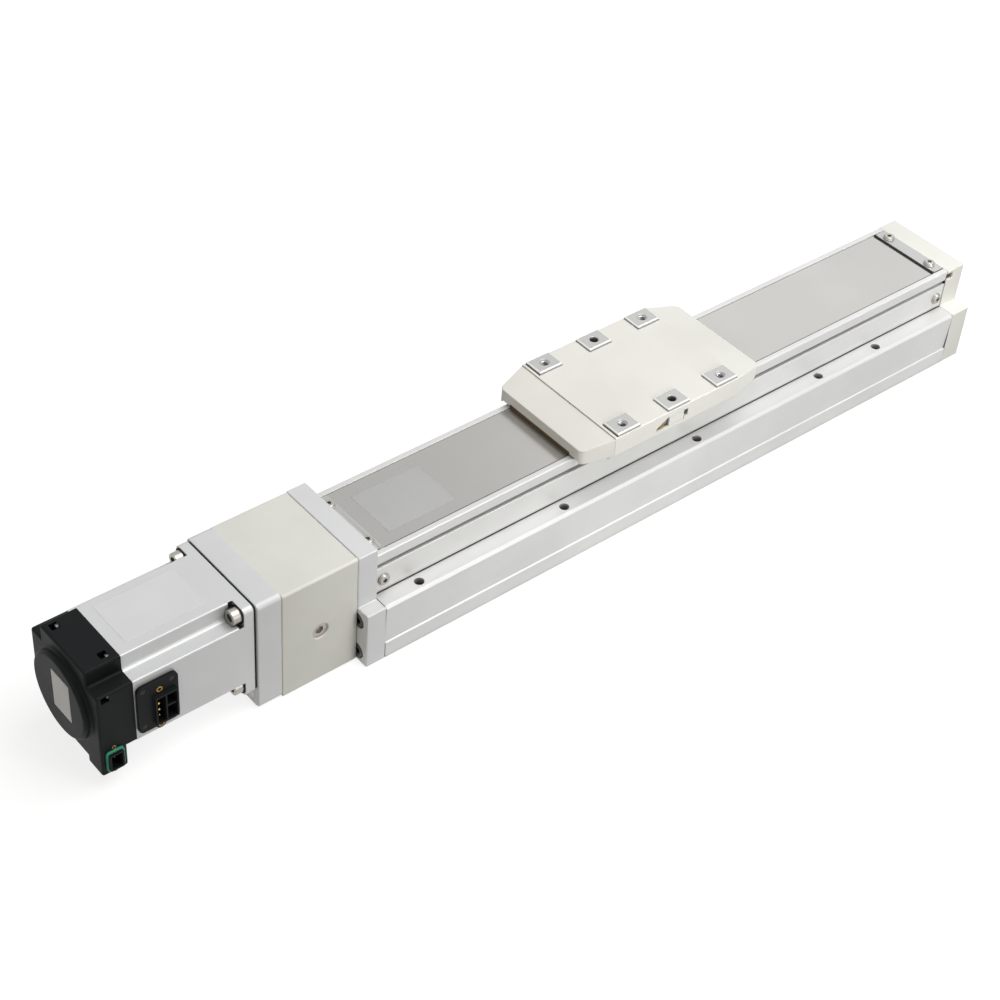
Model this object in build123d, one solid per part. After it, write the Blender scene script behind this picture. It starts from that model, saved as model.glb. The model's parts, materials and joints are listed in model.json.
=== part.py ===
from build123d import *
import math
import os

# Ball screw linear actuator with a built-on servo motor.
# Millimetres. X runs along the travel, away from the motor; -Y is the near side; +Z is up.
# The origin is the middle of the base profile's bottom face.

# Base profile
base_length = 440.0
base_width = 80.0
base_height = 36.5
base_floor_thickness = 8.0
base_foot_height = 10.4
base_side_recess = 0.9
base_edge_chamfer = 1.5
base_relief_width = 14.0
base_relief_offset = 17.0
base_relief_depth = 1.0
channel_width = 50.0

# Mounting holes through the base walls
mount_hole_radius = 2.75
mount_row_spacing = 68.0
mount_first_offset = 25.5
mount_pitch = 100.0
mount_full_pitches = 3
mount_last_step = 50.0

# Side panels, top cover, strip and its clamps
panel_height = 17.0
panel_thickness = 3.5
slot_height = 2.9
cover_floor_thickness = 5.6
rim_width = 3.5
rim_height = 0.8
rim_edge_chamfer = 0.4
strip_thickness = 0.4
strip_side_clearance = 0.1
clamp_front_length = 8.5
clamp_rear_length = 8.5
clamp_thickness = 0.8
clamp_side_clearance = 0.6
clamp_corner_radius = 2.5

# Front plate, end cap and the lugs that reach into the body
front_plate_thickness = 12.5
front_plate_side_step = 0.2
plate_edge_chamfer = 0.6
end_cap_thickness = 15.0
end_cap_side_step = 0.5
end_cap_notch_length = 4.0
end_cap_notch_depth = 2.4
end_cap_notch_height = 3.2
lug_length = 12.0

# Coupling housing and motor plate
housing_length = 46.5
housing_width = 63.0
housing_height = 71.0
housing_edge_radius = 1.5
housing_bore_radius = 22.0
motor_plate_thickness = 14.5
motor_plate_side_step = 0.25
motor_plate_rise = 1.0
motor_plate_corner_radius = 3.0

# Access plug over the coupling's clamp screw
access_hole_radius = 4.0
access_head_radius = 4.8
access_head_height = 2.4
access_head_recess = 1.0
access_plug_length = 9.0
access_plug_offset = 23.1

# Servo motor
axis_height = 42.0
motor_flange_width = 60.0
motor_flange_thickness = 7.0
motor_flange_corner_radius = 3.0
motor_pilot_radius = 25.0
motor_pilot_height = 3.0
motor_spigot_length = 3.0
motor_body_length = 63.0
motor_arm_width = 40.6
motor_notch_radius = 2.0
motor_arm_chamfer = 0.6
sketch_tolerance = 0.05
motor_bore_radius = 24.5
motor_rear_wall = 11.0
motor_bolt_spacing = 49.5
motor_bolt_length = 18.0
motor_shaft_radius = 5.5
motor_shaft_reach = 23.5
motor_journal_radius = 6.0
stator_length = 40.0
stator_inner_radius = 15.0
rotor_radius = 14.4
rotor_length = 40.0
motor_bearing_radius = 14.0
motor_bearing_width = 8.0

# Encoder and its moulded cover
encoder_cover_length = 20.0
encoder_cover_wall = 2.0
encoder_boss_radius = 24.0
encoder_boss_height = 4.0
encoder_boss_edge = 2.0
encoder_shaft_radius = 4.0
encoder_shaft_length = 12.0
encoder_disc_radius = 14.0
encoder_disc_thickness = 1.2
encoder_disc_inset = 1.0
encoder_hub_radius = 6.5
encoder_hub_length = 4.0
encoder_board_clearance = 1.0
encoder_board_width = 34.0
encoder_board_thickness = 1.6
encoder_standoff_radius = 2.0
encoder_standoff_length = 3.0
encoder_block_length = 14.5
encoder_block_depth = 13.5
encoder_block_bottom = 8.0
encoder_block_overlap = 6.0
pocket_width = 4.6
pocket_depth = 4.0
pocket_reach = 15.5
pocket_near_offset = 6.3
pocket_far_offset = 14.8
cover_screw_radius = 1.0
cover_screw_head_radius = 1.7
cover_screw_head_height = 1.6
cover_screw_grip = 5.0
reading_head_size = 6.0
reading_head_gap = 0.6

# Power connector on the near side of the motor
power_plate_length = 23.0
power_plate_height = 31.0
power_plate_thickness = 2.0
power_plate_corner = 3.0
power_plate_gap = 0.6
power_screw_radius = 1.4
power_screw_inset = 3.4
power_screw_depth = 1.2
power_screw_sink = 0.2
power_insert_shift = 0.8
power_insert_top_inset = 6.2
power_insert_bottom_inset = 0.6
power_insert_lug = 1.0
power_boss_depth = 3.8
power_boss_margin = 2.2
power_shroud_length = 13.0
power_shroud_height = 18.5
power_shroud_rise = 2.0
power_shroud_wall = 1.0
power_shroud_side_margin = 1.3
power_shroud_base_margin = 2.9
power_divider = 0.9
power_pin_bay = 4.6
power_socket_depth = 6.4
power_pin_count = 4
power_pin_radius = 0.6
power_pin_length = 3.6

# Encoder connector on the hanging block
signal_shroud_length = 8.0
signal_shroud_height = 11.0
signal_shroud_rise = 2.6
signal_shroud_wall = 1.0
signal_socket_depth = 6.6
signal_seal_width = 1.0
signal_seal_height = 1.2
signal_corner_radius = 0.9
signal_seal_corner_radius = 1.8
signal_insert_gap = 0.1
signal_pin_row_pitch = 2.4
signal_pin_column_pitch = 2.6
insert_stand_out = 0.2
signal_centre_height = 17.3
signal_body_depth = 6.0
signal_pin_rows = 2
signal_pin_columns = 3
signal_pin_radius = 0.4
signal_pin_length = 1.6
insert_radius = 1.7
insert_bore_radius = 1.0
signal_insert_radius = 1.2
signal_insert_bore_radius = 0.7

# Linear guides
rail_spacing = 28.0
rail_width = 9.0
rail_height = 6.0
rail_seat_depth = 0.5
rail_end_gap = 1.0
rail_end_margin = 10.0
rail_groove_depth = 0.8
rail_groove_height = 1.6
rail_hole_pitch = 60.0
guide_block_width = 20.0
guide_block_length = 34.0
guide_block_top = 18.0
guide_block_spacing = 76.0
guide_block_floor_gap = 1.6
guide_clearance = 0.05

# Carriage
carriage_centre = -19.0
carriage_block_overhang = 3.0
carriage_block_width = 44.0
carriage_groove_width = 8.0
carriage_groove_height = 8.0
saddle_gap = 0.5
saddle_thickness = 2.0
saddle_leg_gap = 0.9
saddle_leg_thickness = 3.0
saddle_flange_width = 5.0
saddle_flange_thickness = 2.0
saddle_end_step = 1.5
table_end_gap = 1.15
table_side_gap = 0.5
table_bottom = 65.2
pad_top = 76.2
pad_length = 16.3
pad_width = 12.4
pad_end_margin = 1.0
pad_row_spacing = 65.0
pad_thread_radius = 2.5
pad_thread_depth = 10.0
dowel_radius = 2.5
dowel_depth = 8.0

# Slider cover
cover_main_length = 94.6
cover_end_length = 20.1
cover_width = 79.0
cover_end_inset = 5.5
cover_top = 74.6
cover_end_step = 0.5
cover_end_top = 70.9
cover_skirt_bottom = 62.0
cover_end_bottom = 63.9
cover_wall = 1.5
cover_corner_radius = 3.0
pad_window_clearance = 0.15
door_window_length = 24.2
door_window_height = 5.7
door_length = 18.4
door_window_start = -16.6
door_fit = 0.1
door_sink = 0.2

# Strip rollers in the slider ends
roller_radius = 3.5
roller_length = 43.0
roller_journal_radius = 1.5
roller_journal_length = 2.6
roller_table_gap = 9.85
roller_strip_gap = 0.05
roller_end_gap = 0.4
bracket_thickness = 2.4
bracket_wall = 1.6
bracket_bar_thickness = 3.0
bracket_reach = 4.0
bracket_top_drop = 3.5

# Ball screw and nut
screw_radius = 6.0
front_journal_radius = 5.0
rear_journal_radius = 4.0
front_journal_reach = 28.5
nut_radius = 10.5
nut_body_length = 36.0
nut_flange_radius = 19.0
nut_flange_height = 21.0
nut_flange_thickness = 6.0
nut_pocket_clearance = 0.1
screw_passage_radius = 8.5

# Screw bearings, retainer and lock nut
front_bearing_radius = 13.0
front_bearing_width = 8.0
front_bearing_count = 2
rear_bearing_radius = 11.0
rear_bearing_width = 7.0
bearing_ring_thickness = 2.4
bearing_running_gap = 0.05
retainer_radius = 21.0
retainer_bore_radius = 11.5
retainer_thickness = 3.0
retainer_screw_circle = 17.0
retainer_screw_radius = 1.5
retainer_screw_head_height = 1.65
lock_nut_radius = 10.0
lock_nut_width = 8.0
lock_nut_slot_width = 3.0
lock_nut_slot_depth = 1.8
lock_nut_slot_floor = 2.5
lock_nut_slots = 4

# Jaw coupling
hub_radius = 15.0
hub_length = 12.0
spider_width = 8.0
jaw_count = 3
jaw_angle = 40.0
spider_core_wall = 2.6
jaw_inner_radius = 6.0
jaw_end_gap = 0.4
hub_slit_width = 1.2
hub_screw_offset = 8.1
hub_screw_radius = 1.5
hub_screw_head_radius = 2.75
hub_screw_head_height = 3.0
hub_screw_length = 18.0

# Rubber bumpers
bumper_radius = 4.5
bumper_spacing = 24.0
bumper_height = 24.0
bumper_length = 9.7
bumper_edge_radius = 1.2

# Fasteners
thread_gap = 0.05
socket_depth_share = 0.6
crown_radius = 1.4
end_screw_socket = 2.3
motor_bolt_socket = 2.4
access_plug_socket = 2.6
end_screw_radius = 2.5
end_screw_head_radius = 4.25
end_screw_seat_radius = 4.75
end_screw_head_height = 5.0
end_screw_length = 20.0
end_screw_hole_depth = 13.5
end_screw_spacing = 64.0
end_screw_heights = (6.6, 28.4)
trim_screw_radius = 2.0
trim_screw_head_radius = 3.6
trim_screw_head_height = 2.0
trim_screw_socket_radius = 1.4
strip_screw_spacing = 33.5
strip_screw_offset_front = 4.2
strip_screw_offset_rear = 4.2
strip_screw_length = 10.0
panel_screw_offset = 6.0
panel_screw_height = 45.0
panel_screw_length = 9.0
motor_bolt_radius = 2.5
motor_bolt_head_radius = 4.25
motor_bolt_head_height = 5.0
housing_screw_radius = 2.0
housing_screw_head_radius = 3.5
housing_screw_head_height = 4.0
housing_screw_rows = ((24.0, 6.5), (18.0, 66.0))
housing_screw_grip = 10.0
rail_screw_radius = 1.5
rail_screw_head_radius = 2.75
rail_screw_head_height = 2.8
rail_screw_seat_depth = 3.0
rail_screw_length = 8.0
nut_screw_radius = 1.5
nut_screw_head_radius = 2.75
nut_screw_head_height = 1.6
nut_screw_length = 14.0
nut_screw_across = 29.0
nut_screw_apart = 12.0
saddle_screw_radius = 1.5
saddle_screw_head_radius = 2.9
saddle_screw_length = 8.0
saddle_screw_spacing = 34.0
saddle_screw_row = 36.0
table_screw_radius = 1.25
table_screw_head_radius = 2.2
table_screw_head_height = 1.5
table_screw_spacing = 37.0
table_screw_length = 6.0
guide_stud_grip = 8.0
guide_stud_foot = 1.2

# Places along the length, worked out from the sizes
base_front = -base_length / 2
base_rear = base_length / 2
front_plate_face = base_front - front_plate_thickness
housing_face = front_plate_face - housing_length
motor_plate_face = housing_face - motor_plate_thickness
motor_flange_face = motor_plate_face - motor_flange_thickness
motor_seam = motor_flange_face - motor_body_length
encoder_cover_face = motor_seam - encoder_cover_length
end_cap_face = base_rear + end_cap_thickness
lug_front = base_front + lug_length
lug_rear = base_rear - lug_length
hub_screw_x = front_plate_face - access_plug_offset
screw_hub_near = hub_screw_x - hub_length / 2
motor_hub_near = screw_hub_near - spider_width
hub_screw_height = axis_height - hub_screw_offset
rail_length = base_length - 2 * (lug_length + rail_end_gap)
rail_hole_reach = int((rail_length / 2 - rail_end_margin) / rail_hole_pitch)
rail_hole_count = 2 * rail_hole_reach + 1
carriage_block_length = guide_block_spacing + guide_block_length + 2 * carriage_block_overhang
table_length = cover_main_length - 2 * table_end_gap
saddle_length = table_length - 2 * saddle_end_step
cover_total_length = cover_main_length + 2 * cover_end_length
roller_offset = table_length / 2 + roller_table_gap
pad_pitch = table_length / 2 - pad_end_margin - pad_length / 2

# Widths and heights that follow the housing and the slider cover
front_plate_width = housing_width + 2 * front_plate_side_step
front_plate_height = housing_height
motor_plate_width = housing_width - 2 * motor_plate_side_step
motor_plate_height = housing_height + motor_plate_rise
table_width = cover_width - 2 * (cover_wall + table_side_gap)
cover_end_width = cover_width - 2 * cover_end_inset

# Heights, worked out from the sizes
panel_top = base_height + panel_height
cover_bottom = panel_top + slot_height
strip_bottom = cover_bottom + cover_floor_thickness
strip_top = strip_bottom + strip_thickness
rim_top = strip_top + rim_height - strip_thickness
body_half = channel_width / 2 + panel_thickness
saddle_bottom = panel_top + saddle_gap
saddle_top = saddle_bottom + saddle_thickness
leg_inner = body_half + saddle_leg_gap
leg_outer = leg_inner + saddle_leg_thickness
rail_bottom = base_floor_thickness - rail_seat_depth
rail_top = rail_bottom + rail_height
table_top = cover_top - cover_wall
roller_height = strip_top + roller_radius + roller_strip_gap
wall_middle = end_screw_spacing / 2


def block(x0, x1, y0, y1, z0, z1):
    """Return a box between two corners."""
    size = Box(x1 - x0, y1 - y0, z1 - z0, align=(Align.MIN, Align.MIN, Align.MIN))
    return Pos(x0, y0, z0) * size


def rod_x(x0, x1, radius, y=0.0, z=axis_height):
    """Return a round bar along X."""
    bar = Cylinder(radius, x1 - x0, align=(Align.CENTER, Align.CENTER, Align.MIN))
    return Pos(x0, y, z) * Rot(0, 90, 0) * bar


def rod_y(y0, y1, radius, x, z):
    """Return a round bar along Y."""
    bar = Cylinder(radius, y1 - y0, align=(Align.CENTER, Align.CENTER, Align.MIN))
    return Pos(x, y0, z) * Rot(-90, 0, 0) * bar


def rod_z(z0, z1, radius, x, y):
    """Return a round bar along Z."""
    bar = Cylinder(radius, z1 - z0, align=(Align.CENTER, Align.CENTER, Align.MIN))
    return Pos(x, y, z0) * bar


def ring_x(x0, x1, outer, inner):
    """Return a ring round the screw axis."""
    return rod_x(x0, x1, outer) - rod_x(x0, x1, inner)


def prism_x(points, x0, x1):
    """Extrude an outline of (y, z) points along X."""
    face = make_face(Polyline(*points, close=True))
    return extrude(Plane.YZ.offset(x0) * face, x1 - x0)


def prism_y(points, y0, y1):
    """Extrude an outline of (x, z) points along Y."""
    face = make_face(Polyline(*[(x, 0, z) for x, z in points], close=True))
    return extrude(Pos(0, y0, 0) * face, y1 - y0, dir=(0, 1, 0))


def prism_z(points, z0, z1):
    """Extrude an outline of (x, y) points along Z."""
    face = make_face(Polyline(*points, close=True))
    return extrude(Pos(0, 0, z0) * face, z1 - z0)


def both_sides(points):
    """Close a half outline of (y, z) points with its mirror image."""
    return points + [(-y, z) for y, z in reversed(points) if y != 0]


def group(solids):
    """Return separate solids as one node."""
    return Compound(children=list(solids))


def aimed(shape, place, direction):
    """Place a shape that was drawn along +Z so that it looks along a direction."""
    return Plane(origin=place, z_dir=direction) * shape


def socket_screw(radius, length, head_radius, head_height, socket_radius=0.0):
    """Return a cap screw along +Z with the underside of its head at the origin."""
    head = rod_z(0, head_height, head_radius, 0, 0)
    shank = rod_z(-length, 0, radius - thread_gap, 0, 0)
    screw = head + shank
    if socket_radius > 0:
        depth = head_height * socket_depth_share
        hexagon = extrude(RegularPolygon(socket_radius, 6), depth)
        screw = screw - Pos(0, 0, head_height - depth) * hexagon
    return screw


def button_screw(length):
    """Return a small domed screw along +Z with the underside of its head at the origin."""
    head = rod_z(0, trim_screw_head_height, trim_screw_head_radius, 0, 0)
    crown = head.edges().group_by(Axis.Z)[-1]
    head = fillet(crown, crown_radius)
    shank = rod_z(-length, 0, trim_screw_radius - thread_gap, 0, 0)
    depth = trim_screw_head_height * socket_depth_share
    hexagon = extrude(RegularPolygon(trim_screw_socket_radius, 6), depth)
    return head + shank - Pos(0, 0, trim_screw_head_height - depth) * hexagon


def flat_screw(radius, length, head_radius):
    """Return a countersunk screw along +Z with its flat head's face at the origin."""
    head_depth = head_radius - radius
    cone = Cone(radius - thread_gap, head_radius - thread_gap, head_depth)
    head = Pos(0, 0, -head_depth / 2) * cone
    return head + rod_z(-length, -head_depth, radius - thread_gap, 0, 0)


def flat_screw_hole(radius, length, head_radius):
    """Return the hole that a countersunk screw fits."""
    head_depth = head_radius - radius
    cone = Cone(radius, head_radius, head_depth)
    return Pos(0, 0, -head_depth / 2) * cone + rod_z(-length, -head_depth, radius, 0, 0)


def mount_stations():
    """Return the X places of the mounting holes."""
    first = base_front + mount_first_offset
    stations = [first + index * mount_pitch for index in range(mount_full_pitches + 1)]
    return stations + [stations[-1] + mount_last_step]


def end_screw_places():
    """Return the (y, z) places of the screws that hold the plates to the base walls."""
    return [(side * wall_middle, z) for side in (-1, 1) for z in end_screw_heights]


def rail_screw_places():
    """Return the (x, y) places of the rail screws."""
    start = -rail_hole_pitch * (rail_hole_count - 1) / 2
    stations = [start + index * rail_hole_pitch for index in range(rail_hole_count)]
    return [(x, side * rail_spacing / 2) for side in (-1, 1) for x in stations]


def strip_screw_places():
    """Return the (x, y) places of the screws that clamp the strip."""
    front = base_front + strip_screw_offset_front
    rear = base_rear - strip_screw_offset_rear
    return [(x, side * strip_screw_spacing / 2) for x in (front, rear) for side in (-1, 1)]


def panel_screw_places():
    """Return the X places of the screws that hold a side panel."""
    return (base_front + panel_screw_offset, base_rear - panel_screw_offset)


# Body


def base_profile():
    """Extruded channel with guide seats, mounting holes and tapped ends."""
    side = base_width / 2
    groove_inner = base_relief_offset - base_relief_width / 2
    groove_outer = base_relief_offset + base_relief_width / 2
    half = [
        (0, 0),
        (groove_inner, 0),
        (groove_inner + base_relief_depth, base_relief_depth),
        (groove_outer - base_relief_depth, base_relief_depth),
        (groove_outer, 0),
        (side, 0),
        (side, base_foot_height),
        (side - base_side_recess, base_foot_height + base_side_recess / 2),
        (side, base_height - base_edge_chamfer),
        (side - base_edge_chamfer, base_height),
        (channel_width / 2, base_height),
        (channel_width / 2, base_floor_thickness),
        (0, base_floor_thickness),
    ]
    body = prism_x(both_sides(half), base_front, base_rear)
    for side_sign in (-1, 1):
        middle = side_sign * rail_spacing / 2
        body -= block(-rail_length / 2, rail_length / 2, middle - rail_width / 2,
                      middle + rail_width / 2, rail_bottom, base_floor_thickness)
        for x in mount_stations():
            row = side_sign * mount_row_spacing / 2
            body -= rod_z(0, base_height, mount_hole_radius, x, row)
    depth = end_screw_hole_depth
    for y, z in end_screw_places():
        body -= rod_x(base_front, base_front + depth, end_screw_radius, y, z)
        body -= rod_x(base_rear - depth, base_rear, end_screw_radius, y, z)
    for x, y in rail_screw_places():
        tip = rail_top - rail_screw_seat_depth - rail_screw_length
        body -= rod_z(tip, rail_bottom, rail_screw_radius, x, y)
    return body


def side_panel(side_sign):
    """Flat panel that stands on the base and leaves the carriage slot above it."""
    y0, y1 = sorted((side_sign * channel_width / 2, side_sign * body_half))
    panel = block(base_front, base_rear, y0, y1, base_height, panel_top)
    for x in panel_screw_places():
        panel -= rod_y(y0, y1, trim_screw_radius, x, panel_screw_height)
    return panel


def top_cover():
    """Long lid with a shallow recess for the strip between two rims."""
    inner = body_half - rim_width
    half = [
        (0, cover_bottom),
        (body_half, cover_bottom),
        (body_half, rim_top - rim_edge_chamfer),
        (body_half - rim_edge_chamfer, rim_top),
        (inner, rim_top),
        (inner, strip_bottom),
        (0, strip_bottom),
    ]
    lid = prism_x(both_sides(half), base_front, base_rear)
    for x, y in strip_screw_places():
        lid -= rod_z(cover_bottom, strip_bottom, trim_screw_radius, x, y)
    return lid


def seal_strip():
    """Thin steel strip that covers the top."""
    half = body_half - rim_width - strip_side_clearance
    strip = block(base_front, base_rear, -half, half, strip_bottom, strip_top)
    for x, y in strip_screw_places():
        strip -= rod_z(strip_bottom, strip_top, trim_screw_radius, x, y)
    return strip


def strip_clamp(x0, x1, rounded):
    """Thin plate that holds one end of the strip, with its free corners rounded."""
    half = body_half - rim_width - clamp_side_clearance
    plate = block(x0, x1, -half, half, strip_top, strip_top + clamp_thickness)
    corners = plate.edges().filter_by(Axis.Z).group_by(Axis.X)[rounded]
    plate = fillet(corners, clamp_corner_radius)
    for x, y in strip_screw_places():
        if x0 < x < x1:
            plate -= rod_z(strip_top, strip_top + clamp_thickness, trim_screw_radius, x, y)
    return plate


def strip_screws():
    """Four domed screws through the clamps, the strip and the top cover."""
    top = strip_top + clamp_thickness
    screw = button_screw(strip_screw_length)
    return [Pos(x, y, top) * screw for x, y in strip_screw_places()]


def panel_screws():
    """Four domed screws that hold the side panels to the lugs."""
    screw = button_screw(panel_screw_length)
    places = [(x, side) for side in (-1, 1) for x in panel_screw_places()]
    return [aimed(screw, (x, side * body_half, panel_screw_height), (0, side, 0))
            for x, side in places]


def lug(x0, x1):
    """Block behind the panels that carries a screw bearing, the lid and the panels."""
    half = channel_width / 2
    body = block(x0, x1, -half, half, base_floor_thickness, cover_bottom)
    for x in panel_screw_places():
        if x0 < x < x1:
            tip = half - panel_screw_length + panel_thickness
            body -= rod_y(-half, -tip, trim_screw_radius, x, panel_screw_height)
            body -= rod_y(tip, half, trim_screw_radius, x, panel_screw_height)
    for x, y in strip_screw_places():
        if x0 < x < x1:
            tip = strip_top + clamp_thickness - strip_screw_length
            body -= rod_z(tip, cover_bottom, trim_screw_radius, x, y)
    return body


def stepped_outline(width, height):
    """Outline of a plate that is narrow above and as wide as the base below."""
    side = base_width / 2
    half = [
        (0, 0),
        (side, 0),
        (side, base_height),
        (width / 2, base_height),
        (width / 2, height),
        (0, height),
    ]
    return both_sides(half)


def front_plate():
    """Stepped plate between the body and the coupling housing, with the fixed bearing seat."""
    outline = stepped_outline(front_plate_width, front_plate_height)
    plate = prism_x(outline, front_plate_face, base_front)
    rims = plate.edges().filter_by(Axis.X, reverse=True)
    plate = chamfer(rims, plate_edge_chamfer)
    plate += lug(base_front, lug_front)
    seat = front_plate_face + front_bearing_count * front_bearing_width
    plate -= rod_x(front_plate_face, seat, front_bearing_radius)
    plate -= rod_x(front_plate_face, lug_front, screw_passage_radius)
    for y, z in end_screw_places():
        plate -= rod_x(front_plate_face, base_front, end_screw_radius, y, z)
        plate -= rod_x(front_plate_face, front_plate_face + end_screw_head_height,
                       end_screw_seat_radius, y, z)
    for y, z in housing_screw_places():
        plate -= rod_x(front_plate_face, front_plate_face + housing_screw_grip,
                       housing_screw_radius, y, z)
    for y, z in retainer_screw_places():
        plate -= rod_x(front_plate_face, front_plate_face + retainer_thickness * 2,
                       retainer_screw_radius, y, z)
    return plate


def end_screw_set(face, direction):
    """Four cap screws sunk in a plate's outer face."""
    screw = socket_screw(end_screw_radius, end_screw_length, end_screw_head_radius,
                         end_screw_head_height, end_screw_socket)
    seat = face - direction * end_screw_head_height
    return [aimed(screw, (seat, y, z), (direction, 0, 0)) for y, z in end_screw_places()]


def end_cap():
    """Moulded closing cap with the floating bearing seat."""
    cap_half = body_half + end_cap_side_step
    outline = stepped_outline(2 * cap_half, rim_top)
    cap = prism_x(outline, base_rear, end_cap_face)
    rims = cap.faces().sort_by(Axis.X)[-1].edges()
    cap = chamfer(rims, plate_edge_chamfer)
    for side in (-1, 1):
        y0, y1 = sorted((side * (cap_half - end_cap_notch_depth), side * cap_half))
        cap -= block(base_rear, base_rear + end_cap_notch_length, y0, y1,
                     cover_bottom, cover_bottom + end_cap_notch_height)
    cap += lug(lug_rear, base_rear)
    cap -= rod_x(lug_rear, lug_rear + rear_bearing_width, rear_bearing_radius)
    cap -= rod_x(lug_rear, lug_rear + rear_bearing_width + 2.0, screw_passage_radius)
    for y, z in end_screw_places():
        cap -= rod_x(base_rear, end_cap_face, end_screw_radius, y, z)
        cap -= rod_x(end_cap_face - end_screw_head_height, end_cap_face,
                     end_screw_seat_radius, y, z)
    return cap


# Coupling housing and motor plate


def housing_screw_places():
    """Return the (y, z) places of the long housing screws."""
    return [(side * y, z) for side in (-1, 1) for y, z in housing_screw_rows]


def retainer_screw_places():
    """Return the (y, z) places of the screws round the bearing retainer."""
    reach = retainer_screw_circle / math.sqrt(2)
    return [(y * reach, axis_height + z * reach) for y in (-1, 1) for z in (-1, 1)]


def coupling_housing():
    """Rounded box round the coupling, with an access hole on the near side."""
    body = block(housing_face, front_plate_face, -housing_width / 2, housing_width / 2,
                 0, housing_height)
    long_edges = body.edges().filter_by(Axis.X).group_by(Axis.Z)[-1]
    body = fillet(long_edges, housing_edge_radius)
    body -= rod_x(housing_face, front_plate_face, housing_bore_radius)
    near = -housing_width / 2
    body -= rod_y(near, 0, access_hole_radius, hub_screw_x, hub_screw_height)
    seat = near + access_head_recess + access_head_height
    body -= rod_y(near, seat, access_head_radius + thread_gap, hub_screw_x, hub_screw_height)
    for y, z in housing_screw_places():
        body -= rod_x(housing_face, front_plate_face, housing_screw_radius, y, z)
    return body


def access_plug():
    """Threaded plug with a hexagon socket over the coupling's clamp screw."""
    plug = socket_screw(access_hole_radius, access_plug_length - access_head_height,
                        access_head_radius, access_head_height, access_plug_socket)
    seat = -housing_width / 2 + access_head_recess + access_head_height
    return aimed(plug, (hub_screw_x, seat, hub_screw_height), (0, -1, 0))


def motor_plate():
    """Adapter plate between the coupling housing and the motor flange."""
    half = motor_plate_width / 2
    plate = block(motor_plate_face, housing_face, -half, half, 0, motor_plate_height)
    long_edges = plate.edges().filter_by(Axis.X)
    plate = fillet(long_edges, motor_plate_corner_radius)
    rims = plate.faces().sort_by(Axis.X)[0].edges()
    plate = chamfer(rims, plate_edge_chamfer)
    plate -= rod_x(motor_plate_face, housing_face, housing_bore_radius)
    plate -= rod_x(motor_plate_face, motor_plate_face + motor_pilot_height, motor_pilot_radius)
    for y, z in housing_screw_places():
        plate -= rod_x(motor_plate_face, housing_face, housing_screw_radius, y, z)
        plate -= rod_x(motor_plate_face, motor_plate_face + housing_screw_head_height,
                       housing_screw_head_radius, y, z)
    tip = motor_flange_face + motor_bolt_length
    for y, z in motor_bolt_places():
        plate -= rod_x(motor_plate_face, tip, motor_bolt_radius, y, z)
    return plate


def housing_screws():
    """Four long screws from the motor plate through the housing into the front plate."""
    seat = motor_plate_face + housing_screw_head_height
    length = front_plate_face + housing_screw_grip - seat
    screw = socket_screw(housing_screw_radius, length, housing_screw_head_radius,
                         housing_screw_head_height)
    return group([aimed(screw, (seat, y, z), (-1, 0, 0)) for y, z in housing_screw_places()])


def bearing_retainer():
    """Ring plate that holds the fixed bearings in the front plate."""
    ring = ring_x(front_plate_face - retainer_thickness, front_plate_face,
                  retainer_radius, retainer_bore_radius)
    for y, z in retainer_screw_places():
        ring -= rod_x(front_plate_face - retainer_thickness, front_plate_face,
                      retainer_screw_radius, y, z)
    return ring


def retainer_screws():
    """Four screws round the bearing retainer."""
    screw = socket_screw(retainer_screw_radius, retainer_thickness * 3, rail_screw_head_radius,
                         retainer_screw_head_height)
    face = front_plate_face - retainer_thickness
    return group([aimed(screw, (face, y, z), (-1, 0, 0)) for y, z in retainer_screw_places()])


# Motor


def motor_bolt_places():
    """Return the (y, z) places of the motor bolts."""
    half = motor_bolt_spacing / 2
    return [(y * half, axis_height + z * half) for y in (-1, 1) for z in (-1, 1)]


def cross_section(width, arm_width, notch_radius):
    """Square with its four corners notched out, as a face on the YZ plane's own axes."""
    cross = Rectangle(width, arm_width) + Rectangle(arm_width, width)
    reach = arm_width / 2 * math.sqrt(2)
    inner = [v for v in cross.vertices() if math.hypot(v.X, v.Y) < reach + sketch_tolerance]
    cross = fillet(inner, notch_radius)
    corner = math.hypot(width / 2, arm_width / 2)
    outer = [v for v in cross.vertices() if math.hypot(v.X, v.Y) > corner - sketch_tolerance]
    return chamfer(outer, motor_arm_chamfer)


def cross_x(x0, x1, width, arm_width, notch_radius):
    """Extrude the notched square along X round the motor axis."""
    face = Plane.YZ.offset(x0) * Pos(0, axis_height) * cross_section(width, arm_width,
                                                                    notch_radius)
    return extrude(face, x1 - x0)


def motor_flange():
    """Square front flange with its pilot, bolt holes and bearing seat."""
    face = Plane.YZ.offset(motor_flange_face) * Pos(0, axis_height)
    square = RectangleRounded(motor_flange_width, motor_flange_width,
                              motor_flange_corner_radius)
    flange = extrude(face * square, motor_flange_thickness)
    flange += rod_x(motor_plate_face, motor_plate_face + motor_pilot_height, motor_pilot_radius)
    flange += rod_x(motor_flange_face - motor_spigot_length, motor_flange_face,
                    motor_bore_radius)
    back = motor_flange_face - motor_spigot_length
    flange -= rod_x(back, back + motor_bearing_width, motor_bearing_radius)
    flange -= rod_x(back, motor_plate_face + motor_pilot_height, motor_journal_radius + 1.0)
    for y, z in motor_bolt_places():
        flange -= rod_x(motor_flange_face, motor_plate_face, motor_bolt_radius, y, z)
    return flange


def motor_bolts():
    """Four cap screws in the corner notches of the motor."""
    screw = socket_screw(motor_bolt_radius, motor_bolt_length, motor_bolt_head_radius,
                         motor_bolt_head_height, motor_bolt_socket)
    return group([aimed(screw, (motor_flange_face, y, z), (-1, 0, 0))
                  for y, z in motor_bolt_places()])


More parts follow.
